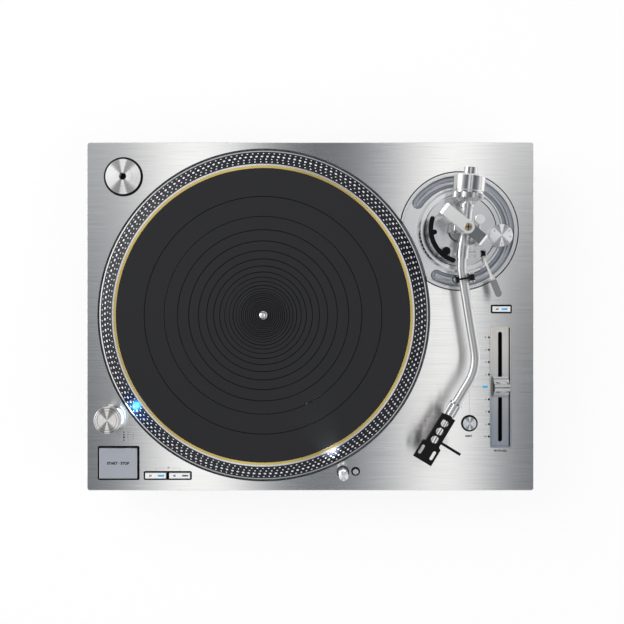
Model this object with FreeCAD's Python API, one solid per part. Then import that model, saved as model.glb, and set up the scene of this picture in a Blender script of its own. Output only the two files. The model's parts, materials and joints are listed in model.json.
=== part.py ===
import FreeCAD, Part
import math
import os

Vec = FreeCAD.Vector
up_axis = Vec(0, 0, 1)
forward_axis = Vec(1, 0, 0)

# Direct drive turntable, millimetres. The origin is under the plinth's centre, on the floor.
# +X is to the user's right, +Y to the rear, +Z up.

# Plinth layers
plinth_width = 453.0
plinth_depth = 353.0
plinth_corner_radius = 3.0
foot_height = 28.0
rubber_height = 24.0
frame_height = 46.0
panel_thickness = 10.0
panel_edge_chamfer = 0.8
frame_inset = 0.5
frame_wall = 5.0
frame_deck = 4.0
rubber_inset = 3.0
rubber_wall = 9.0
rubber_floor = 6.0
base_clearance = 0.5
base_pocket_floor = 6.0
base_pocket_columns = 4
base_pocket_rows = 3
base_rib = 12.0
base_pocket_margin = 62.0
straight_share = 0.9
opening_clearance = 0.5
cut_margin = 1.0

# Feet
foot_place_x = 178.0
foot_place_y = 128.0
foot_radius = 30.0
foot_groove = 1.2
foot_pad_radius = 27.0
foot_pad_height = 6.0
foot_neck_radius = 11.0
foot_stud_radius = 5.0
foot_stud_length = 12.0
foot_seat_gap = 0.3

# Case screws
screw_radius = 2.0
screw_head_radius = 4.0
screw_head_height = 3.0
screw_grip = 16.0
screw_boss_radius = 7.0
screw_place_x = 208.0
screw_place_y = 75.0
screw_fit = 0.05

# Platter and motor
platter_x = -47.1
platter_y = 1.5
platter_radius = 166.0
platter_gap = 2.5
platter_skirt = 2.5
platter_flange_top = 2.0
platter_band = 1.2
platter_band_rise = 0.6
platter_rim_radius = 151.2
platter_seat_radius = 149.6
platter_top = 14.0
platter_plate_thickness = 2.0
platter_web = 4.5
platter_rim_wall = 6.0
platter_hub_radius = 22.0
magnet_outer_radius = 66.0
magnet_inner_radius = 42.0
magnet_thickness = 7.0
magnet_seat = 1.5
mat_radius = 146.7
mat_thickness = 3.0
mat_hole_radius = 4.2
mat_groove_depth = 0.35
mat_groove_width = 0.9
mat_inner_grooves = 9
mat_inner_pitch = 2.0
mat_first_groove = 5.6
mat_growth = 1.17
mat_groove_limit = 105.0
mat_outer_groove = 118.3
spindle_radius = 3.575
spindle_collar_radius = 3.9
spindle_height = 31.0
spindle_tip = 3.0
spindle_tip_round = 1.2
spindle_tip_radius = 2.93
spindle_end_radius = 1.61
spindle_hub_radius = 6.0
spindle_shoulder_radius = 10.0
spindle_shoulder = 2.0
shaft_radius = 5.0
running_fit = 0.05
dish_floor = 22.0
dish_thickness = 4.0
dish_wall = 3.0
bearing_flange_radius = 18.0
bearing_flange_height = 4.0
bearing_body_radius = 10.0
bearing_top = 10.0
bearing_bore_depth = 50.0
bearing_floor = 4.0
stator_board_radius = 72.0
stator_board_hole = 20.0
stator_board_thickness = 1.6
stator_board_height = 6.0
stator_standoff_radius = 4.0
stator_standoffs = 3
coil_count = 9
coil_ring_radius = 54.0
coil_radius = 15.0
coil_hole_radius = 6.0
coil_height = 5.0

# Keys, their trays and the small round controls
start_x = -194.1
start_y = -148.3
start_width = 42.3
start_depth = 34.6
speed_x = -144.4
speed_y = -161.0
speed_width = 48.8
speed_depth = 9.1
speed_key_spacing = 3.5
range_x = 193.2
range_y = 7.5
range_width = 21.4
range_depth = 9.0
tray_wall = 1.2
tray_gap = 0.2
tray_floor = 2.0
opening_radius = 1.6
start_key_gap = 0.7
small_key_gap = 0.35
key_height = 3.0
small_key_height = 2.0
key_travel = 1.8
key_chamfer = 0.5
reset_x = 160.9
reset_y = -108.1
reset_ring_radius = 8.2
reset_radius = 6.6
reset_height = 3.0
target_button_x = 45.7
target_button_y = -156.8
target_ring_radius = 4.25
target_button_radius = 2.8
ring_height = 1.6
round_gap = 0.3
button_chamfer = 0.4

# Pitch slider
pitch_x = 192.6
pitch_y = -71.3
pitch_width = 21.6
pitch_length = 123.0
pitch_drop = 3.0
pitch_floor = 2.0
pitch_floor_width = 17.2
pitch_rim = 0.9
pitch_end_slope = 0.3
pitch_slot_width = 4.15
pitch_slot_length = 111.4
knob_width = 15.4
knob_length = 20.5
knob_base_height = 1.2
knob_ridge_height = 10.8
knob_hollow = 1.4
knob_ridge_length = 6.9
knob_line_width = 0.8
knob_line_depth = 0.3
knob_stem_width = 3.6
knob_stem_length = 9.0
track_width = 12.0
track_length = 118.0
track_drop = 20.0
track_floor = 3.0

# Strobe pillar, target lamp and 45 adaptor
strobe_x = -201.5
strobe_y = -102.7
strobe_flange_radius = 13.8
strobe_flange_height = 1.6
strobe_body_radius = 12.6
strobe_body_height = 12.0
strobe_stem_radius = 9.0
strobe_stem_drop = 18.0
strobe_window_depth = 3.0
strobe_window_low = 2.5
strobe_window_high = 10.0
strobe_window_start = -25.0
strobe_window_sweep = 80.0
power_knob_radius = 13.2
power_knob_height = 9.7
power_neck_radius = 6.0
power_neck_height = 4.0
lamp_x = 32.9
lamp_y = -157.2
lamp_radius = 4.6
lamp_height = 26.0
lamp_below = 10.0
lamp_travel = 25.0
lamp_window_low = 15.0
lamp_window_high = 22.0
lamp_window_depth = 1.6
socket_wall = 0.9
socket_flange_radius = 6.4
socket_flange_height = 0.8
socket_floor = 2.0
adaptor_x = -189.3
adaptor_y = 141.4
adaptor_radius = 19.05
adaptor_hole_radius = 3.62
adaptor_height = 9.0
adaptor_shoulder = 5.0
adaptor_drop = 4.0
adaptor_edge = 1.3
adaptor_gap = 0.9

# Tonearm base
pivot_distance = 215.0
pivot_direction = 23.27
well_radius = 59.7
well_lip = 0.6
well_lip_width = 3.4
well_land_radius = 42.4
well_pot_radius = 42.0
well_pot_drop = 20.0
well_pot_floor = 4.0
well_ledge = 2.0
moat_radius = 50.3
moat_half_width = 5.7
moat_start = -117.0
moat_sweep = 263.0
well_edge_gap = 0.4
well_gap = 0.9
ring_outer_radius = 41.9
ring_top_radius = 40.0
ring_inner_radius = 36.4
ring_ledge_radius = 33.0
ring_ledge = 2.5
ring_top = 10.0
ring_shoulder = 7.0
ring_sleeve_radius = 38.2
ring_sleeve_drop = 14.0
height_travel = 6.0
plate_radius = 35.5
plate_thickness = 5.0
plate_hole_radius = 12.6
plate_step_radius = 21.5
plate_step = 1.4
plate_step_start = 150.0
plate_step_sweep = 112.0
guide_radius = 28.0
guide_wall = 4.0
guide_drop = 27.0
guide_floor_low = -1.0
guide_floor_high = 3.0
pivot_boss_radius = 5.0
pivot_boss_top = 7.6
pivot_pin_radius = 2.0

# Anti-skate dial, height lock and cue parts, placed from the arm's pivot
skate_x = 38.6
skate_y = -5.6
skate_radius = 11.15
skate_dial_low = 16.8
skate_dial_high = 25.0
skate_teeth = 48
skate_tooth_depth = 0.35
skate_stud_radius = 2.5
skate_block_start = 16.0
skate_block_half_width = 9.6
skate_block_low = 10.6
skate_block_high = 16.2
lock_x = 18.9
lock_y = 11.0
lock_radius = 4.9
lock_height = 5.0
lock_gap = 0.3
cue_axis_y = -23.5
cue_axis_height = 15.0
cue_shaft_radius = 2.0
cue_left_block = -11.4
cue_left_block_width = 3.4
cue_right_block = 14.0
cue_right_block_width = 11.0
cue_block_front = -29.0
cue_block_back = -17.5
cue_block_top = 19.0
cue_lever_x = 21.0
cue_slot_half_width = 2.6
cue_hub_radius = 3.2
cue_hub_half_width = 1.5
cue_rod_radius = 1.1
cue_lever_plan = -71.5
cue_lever_rise = 18.6
cue_rod_length = 22.6
cue_cone_length = 6.6
cue_cone_radius = 2.6
cue_paddle_length = 18.4
cue_paddle_width = 6.4
cue_paddle_thickness = 3.4
lifter_inner_radius = 30.3
lifter_outer_radius = 34.9
lifter_top = 34.1
lifter_thickness = 2.4
lifter_lobe_top = 32.2
lifter_start = 162.0
lifter_sweep = 89.0
lifter_shaft_place_radius = 27.5
lifter_shaft_angle = 231.6
lifter_shaft_radius = 2.5
lifter_lobe_radius = 4.1
lifter_pin_place_radius = 28.9
lifter_pin_angle = 186.0
lifter_pin_radius = 1.2
lifter_pin_lobe_radius = 2.5
lifter_boss_radius = 5.2
lifter_boss_top = 17.0

# Gimbal, placed from the arm's pivot; heights above the panel
arm_axis_height = 39.0
arm_rest_angle = -95.6
bridge_angle = -38.5
bridge_width = 11.7
bridge_left = 29.9
bridge_right = 20.9
bridge_leg_left = 6.4
bridge_leg_right = 4.7
bridge_top = 59.6
bridge_underside = 53.8
bridge_right_top = 54.5
bridge_step_top = 57.6
bridge_pad_radius = 6.0
bridge_pad_rise = 0.5
pivot_screw_radius = 2.6
pivot_screw_head_radius = 3.9
pivot_screw_head = 1.6
pivot_screw_gap = 0.35
pivot_tip_radius = 1.5
pivot_tip_length = 2.0
gimbal_half_width = 13.0
gimbal_inner_half_width = 8.6
gimbal_half_thickness = 4.0
gimbal_low = 14.0
gimbal_inner_low = 19.0
gimbal_inner_high = 48.5
gimbal_high = 53.0
gimbal_corner = 3.0
gimbal_disc_radius = 11.2
gimbal_disc_low = 8.4
cross_pin_radius = 1.5
cross_pin_reach = 11.0
cross_cap_radius = 2.6
cross_cap_height = 1.2

# Tonearm, along its own axis from the pivot
hub_radius = 6.4
hub_half_width = 7.6
hub_half_length = 5.0
sleeve_narrow_radius = 3.9
sleeve_wide_radius = 5.9
sleeve_end_radius = 5.6
sleeve_wide_at = 17.0
sleeve_end = 29.3
housing_radius = 5.8
neck_radius = 4.9
housing_start = 7.6
housing_end = 19.6
collar_radius = 6.55
collar_start = 20.2
collar_end = 23.6
rear_shaft_radius = 4.0
rear_shaft_end = 53.1
tube_radius = 4.6
tube_wall = 0.6
tube_inset = 8.0
tube_fit = 0.03
arm_leg_one = 38.0
arm_kick = 14.8
arm_leg_two = 99.1
arm_offset_turn = 40.2
arm_leg_three = 54.9
arm_bend_one = 58.0
arm_bend_two = 45.0
weight_radius = 15.3
weight_front = 34.2
weight_rear = 51.3
weight_groove = 0.8
weight_fit = 0.06
weight_travel = 1.5
dial_nose = 26.0
dial_nose_radius = 8.0
dial_cone_radius = 13.2
dial_front = 28.9
dial_rear = 33.9
dial_radius = 15.5
dial_teeth = 60
dial_tooth_depth = 0.3
auxiliary_length = 7.2
auxiliary_radius = 6.55

# Headshell and its locking nut, along the shell from its rear edge
shell_length = 50.3
shell_rear_half_width = 7.35
shell_front_half_width = 10.05
shell_step_at = 30.7
shell_step_length = 1.6
shell_top = 3.0
shell_thickness = 2.2
shell_flange_drop = 5.5
shell_flange_wall = 1.6
shell_block_length = 5.0
shell_block_drop = 4.6
shell_plug_radius = 3.95
shell_plug_length = 12.5
shell_hole_radius = 3.8
shell_hole_start = 7.8
shell_hole_pitch = 9.2
shell_hole_count = 3
shell_slot_at = 40.7
shell_slot_spacing = 12.7
shell_slot_length = 9.7
shell_slot_width = 3.3
finger_at = 26.0
finger_length = 20.9
finger_width = 2.6
finger_thickness = 1.2
finger_rise = 3.0
tube_end_gap = 4.0
nut_front = 1.2
nut_rear = 15.2
nut_radius = 5.9
nut_flange_radius = 6.3
nut_flange_length = 2.2
nut_fit = 0.08
nut_teeth = 36
nut_tooth_depth = 0.25
wire_radius = 0.45
wire_count = 4
wire_pitch = 2.0
wire_dip = 1.6
wire_spread = 1.3
wire_bend = 4.0
wire_end = 31.0
wire_clip_length = 5.0
wire_clip_radius = 0.85

# Arm rest, along the tube at the place where it is held
rest_along_leg_two = 11.3
rest_half_length = 2.8
rest_left = 6.2
rest_wall_inner = 5.0
rest_right = 8.6
rest_low = 10.0
rest_wall_top = 5.5
rest_groove_gap = 0.4
rest_open_side_gap = 0.3
rest_post_radius = 3.6
rest_collar_radius = 4.4
rest_collar_length = 3.0
rest_bracket_width = 9.0
rest_bracket_thickness = 3.0
rest_bracket_start = 25.0
rest_hole_gap = 0.6
clip_hinge_y = 7.1
clip_hinge_z = 9.2
clip_pin_radius = 1.2
clip_fit = 0.06
clip_ear_thickness = 1.3
clip_ear_gap = 0.15
clip_block_half = 3.0
clip_block_low = 6.9
clip_block_high = 11.5
clip_strap_half_width = 0.9
clip_strap_low = 7.3
clip_strap_high = 8.5
clip_tip_near = 4.8
clip_tip_far = 8.5
clip_tip_high = 9.6

# Rear sockets and electronics
pocket_x = 150.0
pocket_width = 76.0
pocket_height = 30.0
pocket_low = 6.0
pocket_depth = 18.0
pocket_wall = 2.0
jack_plate_thickness = 2.0
jack_plate_gap = 0.3
jack_spacing = 18.0
jack_radius = 4.15
jack_length = 9.0
jack_bore_radius = 1.65
jack_hex_radius = 5.6
jack_hex_height = 2.0
earth_offset = 24.0
earth_post_radius = 2.0
earth_knob_radius = 5.0
earth_knob_length = 5.0
inlet_x = -150.0
inlet_width = 30.0
inlet_height = 22.0
inlet_depth = 25.0
inlet_flange_width = 40.0
inlet_flange_height = 26.0
inlet_flange_thickness = 1.5
inlet_cavity_width = 24.2
inlet_cavity_height = 16.6
inlet_cavity_depth = 17.0
inlet_pin_width = 2.0
inlet_pin_height = 4.0
inlet_pin_length = 15.5
inlet_pin_spacing = 14.0
inlet_pin_offset = 4.0
inlet_low = 10.0
board_x = 120.0
board_y = -70.0
board_width = 110.0
board_depth = 70.0
board_thickness = 1.6
board_standoff = 6.0
board_standoff_radius = 4.0
board_chip_size = 14.0
board_chip_height = 2.5
board_chip_count = 3
board_capacitor_radius = 5.0
board_capacitor_height = 9.0
supply_x = -152.0
supply_y = 95.0
supply_width = 80.0
supply_depth = 55.0
supply_height = 26.0
supply_corner_radius = 3.0

# Heights worked out from the layers
rubber_bottom = foot_height
frame_bottom = rubber_bottom + rubber_height
frame_top = frame_bottom + frame_height
panel_top = frame_top + panel_thickness
base_bottom = rubber_bottom + rubber_floor
arm_axis = panel_top + arm_axis_height
plate_top = panel_top + ring_top
guide_bottom = panel_top - guide_drop
dish_bottom = panel_top - dish_floor
well_hole_radius = well_radius + well_gap
recess_radius = platter_radius + platter_gap

# Places worked out from the pivot
pivot_x = platter_x + pivot_distance * math.cos(math.radians(pivot_direction))
pivot_y = platter_y + pivot_distance * math.sin(math.radians(pivot_direction))
lifter_shaft_place = Vec(lifter_shaft_place_radius, 0, 0)
shell_direction = arm_rest_angle + arm_kick - arm_offset_turn
rest_direction = arm_rest_angle + arm_kick


def polar(radius, degrees, x=0.0, y=0.0):
    angle = math.radians(degrees)
    return x + radius * math.cos(angle), y + radius * math.sin(angle)


def leg_end(start, length, degrees):
    x, y = polar(length, degrees, start[0], start[1])
    return x, y


arm_pivot = (pivot_x, pivot_y)
arm_corner_one = leg_end(arm_pivot, arm_leg_one, arm_rest_angle)
arm_corner_two = leg_end(arm_corner_one, arm_leg_two, rest_direction)
shell_origin = leg_end(arm_corner_two, arm_leg_three, shell_direction)
rest_point = leg_end(arm_corner_one, rest_along_leg_two, rest_direction)


def block(x_low, x_high, y_low, y_high, z_low, z_high):
    size = (x_high - x_low, y_high - y_low, z_high - z_low)
    return Part.makeBox(size[0], size[1], size[2], Vec(x_low, y_low, z_low))


def centred_block(x, y, width, depth, z_low, z_high):
    return block(x - width / 2, x + width / 2, y - depth / 2, y + depth / 2, z_low, z_high)


def rounded_block(x, y, width, depth, z_low, z_high, radius):
    solid = centred_block(x, y, width, depth, z_low, z_high)
    upright = [edge for edge in solid.Edges if abs(edge.tangentAt(edge.FirstParameter).z) > straight_share]
    return solid.makeFillet(radius, upright)


def chamfer_top(solid, size):
    top = solid.BoundBox.ZMax
    rim = [edge for edge in solid.Edges if abs(edge.BoundBox.ZMin - top) < 1e-6]
    return solid.makeChamfer(size, rim)


def disc(x, y, radius, z_low, z_high):
    return Part.makeCylinder(radius, z_high - z_low, Vec(x, y, z_low))


def washer(x, y, outer, inner, z_low, z_high):
    return disc(x, y, outer, z_low, z_high).cut(disc(x, y, inner, z_low, z_high))


def turned(points, x=0.0, y=0.0, z=0.0):
    loop = [Vec(radius, 0, height) for radius, height in points]
    face = Part.Face(Part.makePolygon(loop + loop[:1]))
    solid = face.revolve(Vec(0, 0, 0), up_axis, 360)
    solid.translate(Vec(x, y, z))
    return Part.Solid(solid) if solid.ShapeType != "Solid" else solid


def turned_along(points):
    loop = [Vec(along, 0, radius) for along, radius in points]
    face = Part.Face(Part.makePolygon(loop + loop[:1]))
    solid = face.revolve(Vec(0, 0, 0), forward_axis, 360)
    return Part.Solid(solid) if solid.ShapeType != "Solid" else solid


def rod_along(start, end, radius):
    return Part.makeCylinder(radius, end - start, Vec(start, 0, 0), forward_axis)


def toothed_prism(radius, depth, count, length):
    points = []
    for step in range(2 * count):
        x, y = polar(radius - depth * (step % 2), step * 180.0 / count)
        points.append(Vec(x, y, 0))
    face = Part.Face(Part.makePolygon(points + points[:1]))
    return face.extrude(Vec(0, 0, length))


def extruded(points, direction):
    return Part.Face(Part.makePolygon(points + points[:1])).extrude(direction)


def stand(solid, origin, degrees, height):
    placed = solid.copy()
    placed.rotate(Vec(0, 0, 0), up_axis, degrees)
    placed.translate(Vec(origin[0], origin[1], height))
    return placed


def on_arm(solid):
    return stand(solid, arm_pivot, arm_rest_angle, arm_axis)


def on_shell(solid):
    return stand(solid, shell_origin, shell_direction, arm_axis)


def on_rest(solid):
    return stand(solid, rest_point, rest_direction, arm_axis)


def at_pivot(solid):
    placed = solid.copy()
    placed.translate(Vec(pivot_x, pivot_y, panel_top))
    return placed


def save(name, *solids):
    shape = solids[0] if len(solids) == 1 else Part.makeCompound(list(solids))
    shape.exportStep("parts/" + name + ".step")
    for solid in shape.Solids:
        if not solid.isValid() or solid.Volume <= 0:
            print("invalid solid in", name)
    print(name, len(shape.Solids), round(shape.Volume))


def slot_block(x, y, width, length, z_low, z_high):
    straight = centred_block(x, y, width, length - width, z_low, z_high)
    ends = [disc(x, y + side * (length - width) / 2, width / 2, z_low, z_high) for side in (-1, 1)]
    return straight.fuse(ends).removeSplitter()


# Openings of the panel, two of which go on through the frame's deck
def stem_openings(z_low, z_high):
    stem = strobe_stem_radius + round_gap
    socket = lamp_radius + socket_wall + round_gap
    return [
        disc(strobe_x, strobe_y, stem, z_low, z_high),
        disc(lamp_x, lamp_y, socket, z_low, z_high),
    ]


def control_openings(z_low, z_high):
    places = (
        (start_x, start_y, start_width, start_depth),
        (speed_x, speed_y, speed_width, speed_depth),
        (range_x, range_y, range_width, range_depth),
        (pitch_x, pitch_y, pitch_width, pitch_length),
    )
    cuts = []
    for x, y, width, depth in places:
        cuts.append(rounded_block(x, y, width, depth, z_low, z_high, opening_radius))
    cuts.append(disc(target_button_x, target_button_y, target_ring_radius + round_gap, z_low, z_high))
    cuts.append(disc(reset_x, reset_y, reset_ring_radius + round_gap, z_low, z_high))
    return cuts


def top_panel():
    slab = rounded_block(0, 0, plinth_width, plinth_depth, frame_top, panel_top, plinth_corner_radius)
    slab = chamfer_top(slab, panel_edge_chamfer)
    low = frame_top - cut_margin
    high = panel_top + cut_margin
    cuts = control_openings(low, high) + stem_openings(low, high)
    cuts.append(disc(platter_x, platter_y, recess_radius, low, high))
    cuts.append(disc(pivot_x, pivot_y, well_hole_radius, low, high))
    cuts.append(disc(adaptor_x, adaptor_y, adaptor_radius + adaptor_gap, panel_top - adaptor_drop, high))
    save("top_panel", slab.cut(cuts).removeSplitter())


def screw_places():
    places = [(sx * screw_place_x, sy * screw_place_y) for sx in (-1, 1) for sy in (-1, 1)]
    front = plinth_depth / 2 - frame_wall - screw_boss_radius - screw_head_radius
    return places + [(0, -front), (0, front)]


def pocket_box(x, width, height, z_low, depth):
    rear = plinth_depth / 2 - frame_inset
    return block(x - width / 2, x + width / 2, rear - depth, rear + cut_margin, z_low, z_low + height)


def cabinet_frame():
    width = plinth_width - 2 * frame_inset
    depth = plinth_depth - 2 * frame_inset
    radius = plinth_corner_radius + frame_inset
    body = rounded_block(0, 0, width, depth, frame_bottom, frame_top, radius)
    inner_width = width - 2 * frame_wall
    inner_depth = depth - 2 * frame_wall
    body = body.cut(
        centred_block(0, 0, inner_width, inner_depth, frame_bottom - cut_margin, frame_top - frame_deck)
    )
    dish_outer = recess_radius + dish_wall
    added = [disc(platter_x, platter_y, dish_outer, dish_bottom - dish_thickness, frame_top)]
    for x, y in screw_places():
        added.append(disc(x, y, screw_boss_radius, frame_bottom, frame_top - frame_deck / 2))
    wall = 2 * pocket_wall
    pocket_z = frame_bottom + pocket_low
    rear = plinth_depth / 2 - frame_inset
    pocket = pocket_box(
        pocket_x, pocket_width + wall, pocket_height + wall, pocket_z - pocket_wall, pocket_depth + wall
    )
    added.append(pocket.common(centred_block(0, 0, width, depth, frame_bottom, frame_top)))
    body = body.fuse(added)
    cuts = [disc(platter_x, platter_y, recess_radius, dish_bottom, frame_top + cut_margin)]
    deck_low = frame_top - frame_deck - cut_margin
    cuts += stem_openings(deck_low, frame_top + cut_margin)
    track = (track_width + 2 * opening_clearance, track_length + 2 * opening_clearance)
    cuts.append(centred_block(pitch_x, pitch_y, track[0], track[1], deck_low, frame_top + cut_margin))
    pot = well_pot_radius + 2 * opening_clearance
    cuts.append(disc(pivot_x, pivot_y, pot, deck_low, frame_top + cut_margin))
    post = rest_post_radius + 2 * rest_hole_gap
    cuts.append(disc(rest_point[0], rest_point[1], post, deck_low, frame_top + cut_margin))
    bearing = bearing_body_radius + round_gap
    cuts.append(disc(platter_x, platter_y, bearing, dish_bottom - dish_thickness - cut_margin, frame_top))
    for x, y in screw_places():
        cuts.append(disc(
            x, y, screw_radius + screw_fit, frame_bottom - cut_margin, frame_bottom + screw_grip + cut_margin))
    cuts.append(pocket_box(pocket_x, pocket_width, pocket_height, pocket_z, pocket_depth))
    jack_z = pocket_z + pocket_height / 2
    for x in jack_places():
        hole = Part.makeCylinder(
            jack_bore_radius, 3 * wall, Vec(x, rear - pocket_depth - 2 * wall, jack_z), Vec(0, 1, 0)
        )
        cuts.append(hole)
    inlet_z = frame_bottom + inlet_low
    inlet = inlet_height + opening_clearance
    low = inlet_z - opening_clearance / 2
    cuts.append(pocket_box(inlet_x, inlet_width + opening_clearance, inlet, low, frame_wall + cut_margin))
    flange_low = inlet_z - (inlet_flange_height - inlet_height) / 2
    flange = inlet_flange_height + opening_clearance
    flange_low -= opening_clearance / 2
    cuts.append(pocket_box(
        inlet_x, inlet_flange_width + opening_clearance, flange, flange_low, inlet_flange_thickness
    ))
    body = body.cut(cuts)
    standoffs = []
    for step in range(stator_standoffs):
        x, y = polar(coil_ring_radius, step * 360.0 / stator_standoffs, platter_x, platter_y)
        standoffs.append(disc(x, y, stator_standoff_radius, dish_bottom, dish_bottom + stator_board_height))
    save("cabinet_frame", body.fuse(standoffs).removeSplitter())


def foot_places():
    return {
        "front_left": (-foot_place_x, -foot_place_y),
        "front_right": (foot_place_x, -foot_place_y),
        "rear_left": (-foot_place_x, foot_place_y),
        "rear_right": (foot_place_x, foot_place_y),
    }


def rubber_base():
    width = plinth_width - 2 * rubber_inset
    depth = plinth_depth - 2 * rubber_inset
    radius = plinth_corner_radius + rubber_inset
    body = rounded_block(0, 0, width, depth, rubber_bottom, frame_bottom, radius)
    inner = centred_block(
        0, 0, width - 2 * rubber_wall, depth - 2 * rubber_wall, base_bottom, frame_bottom + cut_margin
    )
    cuts = [inner]
    for x, y in foot_places().values():
        cuts.append(
            disc(x, y, foot_neck_radius + round_gap, rubber_bottom - cut_margin, base_bottom + cut_margin)
        )
    for x, y in screw_places():
        cuts.append(
            disc(x, y, screw_head_radius + cut_margin, rubber_bottom - cut_margin, base_bottom + cut_margin)
        )
    save("rubber_base", body.cut(cuts).removeSplitter())


def inner_base():
    gap = rubber_inset + rubber_wall + base_clearance
    width = plinth_width - 2 * gap
    depth = plinth_depth - 2 * gap
    body = centred_block(0, 0, width, depth, base_bottom, frame_bottom)
    cuts = []
    field_width = width - 2 * base_pocket_margin
    field_depth = depth - 2 * base_pocket_margin
    pitch_across = field_width / base_pocket_columns
    pitch_along = field_depth / base_pocket_rows
    for column in range(base_pocket_columns):
        for row in range(base_pocket_rows):
            x = (column + 0.5) * pitch_across - field_width / 2
            y = (row + 0.5) * pitch_along - field_depth / 2
            low = base_bottom + base_pocket_floor
            pocket = centred_block(
                x, y, pitch_across - base_rib, pitch_along - base_rib, low, frame_bottom + cut_margin
            )
            cuts.append(pocket)
    for x, y in foot_places().values():
        stud = foot_stud_radius + running_fit
        cuts.append(disc(x, y, stud, base_bottom - cut_margin, base_bottom + foot_stud_length + cut_margin))
    for x, y in screw_places():
        cuts.append(disc(x, y, screw_radius + screw_fit, base_bottom - cut_margin, frame_bottom + cut_margin))
    bearing_bottom = panel_top - bearing_bore_depth - bearing_floor
    if bearing_bottom < frame_bottom + round_gap:
        low = bearing_bottom - round_gap
        cuts.append(
            disc(platter_x, platter_y, bearing_body_radius + round_gap, low, frame_bottom + cut_margin)
        )
    body = body.cut(cuts)
    standoffs = []
    for side_x in (-1, 1):
        for side_y in (-1, 1):
            x = board_x + side_x * (board_width / 2 - 2 * board_standoff_radius)
            y = board_y + side_y * (board_depth / 2 - 2 * board_standoff_radius)
            standoffs.append(disc(x, y, board_standoff_radius, base_bottom, frame_bottom + board_standoff))
    save("inner_base", body.fuse(standoffs).removeSplitter())


def case_screws():
    screws = []
    for x, y in screw_places():
        head = disc(x, y, screw_head_radius, base_bottom - screw_head_height, base_bottom)
        slot_width = screw_radius / 2
        slot = centred_block(
            x, y, 2 * screw_head_radius, slot_width, base_bottom - screw_head_height, base_bottom - screw_radius)
        shank = disc(x, y, screw_radius, base_bottom, frame_bottom + screw_grip)
        screws.append(head.cut(slot).fuse(shank).removeSplitter())
    save("case_screws", *screws)


def foot(name, x, y):
    top = rubber_bottom - foot_seat_gap
    middle = (foot_pad_height + top) / 2
    points = [
        (0, foot_pad_height),
        (foot_radius - foot_groove, foot_pad_height),
        (foot_radius, foot_pad_height + foot_groove),
        (foot_radius, middle - foot_groove),
        (foot_radius - foot_groove, middle),
        (foot_radius, middle + foot_groove),
        (foot_radius, top - foot_groove),
        (foot_radius - foot_groove, top),
        (foot_neck_radius, top),
        (foot_neck_radius, base_bottom),
        (foot_stud_radius, base_bottom),
        (foot_stud_radius, base_bottom + foot_stud_length),
        (0, base_bottom + foot_stud_length),
    ]
    save("foot_" + name, turned(points, x, y))
    pad = [
        (0, 0),
        (foot_pad_radius - foot_groove, 0),
        (foot_pad_radius, foot_groove),
        (foot_pad_radius, foot_pad_height),
        (0, foot_pad_height),
    ]
    save("foot_pad_" + name, turned(pad, x, y))


def platter():
    seat = platter_top - platter_plate_thickness
    web_low = seat - platter_web
    inner_rim = platter_seat_radius - platter_rim_wall
    points = [
        (spindle_hub_radius + tube_fit, -magnet_thickness + magnet_seat),
        (platter_hub_radius, -magnet_thickness + magnet_seat),
        (platter_hub_radius, magnet_seat),
        (magnet_outer_radius + platter_rim_wall, magnet_seat),
        (magnet_outer_radius + 2 * platter_rim_wall, web_low),
        (inner_rim, web_low),
        (platter_radius - platter_rim_wall, -platter_skirt),
        (platter_radius, -platter_skirt),
        (platter_radius, platter_flange_top),
        (platter_radius - platter_band, platter_flange_top + platter_band_rise),
        (platter_rim_radius, platter_top),
        (platter_seat_radius, platter_top),
        (platter_seat_radius, seat),
        (spindle_hub_radius + tube_fit, seat),
    ]
    save("platter", turned(points, platter_x, platter_y, panel_top))


def platter_plate():
    low = panel_top + platter_top - platter_plate_thickness
    plate = washer(
        platter_x, platter_y, platter_seat_radius - tube_fit, mat_hole_radius, low, panel_top + platter_top
    )
    save("platter_plate", plate)


def groove_radii():
    radii = [mat_first_groove + step * mat_inner_pitch for step in range(mat_inner_grooves)]
    step = mat_inner_pitch * mat_growth
    while radii[-1] + step < mat_groove_limit:
        radii.append(radii[-1] + step)
        step *= mat_growth
    return radii + [mat_outer_groove]


def platter_mat():
    top = mat_thickness
    points = [(mat_hole_radius, 0), (mat_hole_radius, top)]
    half = mat_groove_width / 2
    for radius in groove_radii():
        points += [(radius - half, top), (radius, top - mat_groove_depth), (radius + half, top)]
    points += [(mat_radius - half, top), (mat_radius, top - half), (mat_radius, 0)]
    save("platter_mat", turned(points, platter_x, platter_y, panel_top + platter_top))


def spindle():
    hub_low = -magnet_thickness + magnet_seat
    seat = platter_top - platter_plate_thickness
    points = [
        (0, -bearing_bore_depth),
        (shaft_radius, -bearing_bore_depth),
        (shaft_radius, hub_low - spindle_shoulder),
        (spindle_shoulder_radius, hub_low - spindle_shoulder),
        (spindle_shoulder_radius, hub_low),
        (spindle_hub_radius, hub_low),
        (spindle_hub_radius, seat),
        (spindle_collar_radius, seat),
        (spindle_collar_radius, platter_top + mat_thickness),
        (spindle_radius, platter_top + mat_thickness),
        (spindle_radius, spindle_height - spindle_tip),
        (spindle_tip_radius, spindle_height - spindle_tip_round),
        (spindle_end_radius, spindle_height),
        (0, spindle_height),
    ]
    save("spindle", turned(points, platter_x, platter_y, panel_top))


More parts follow.
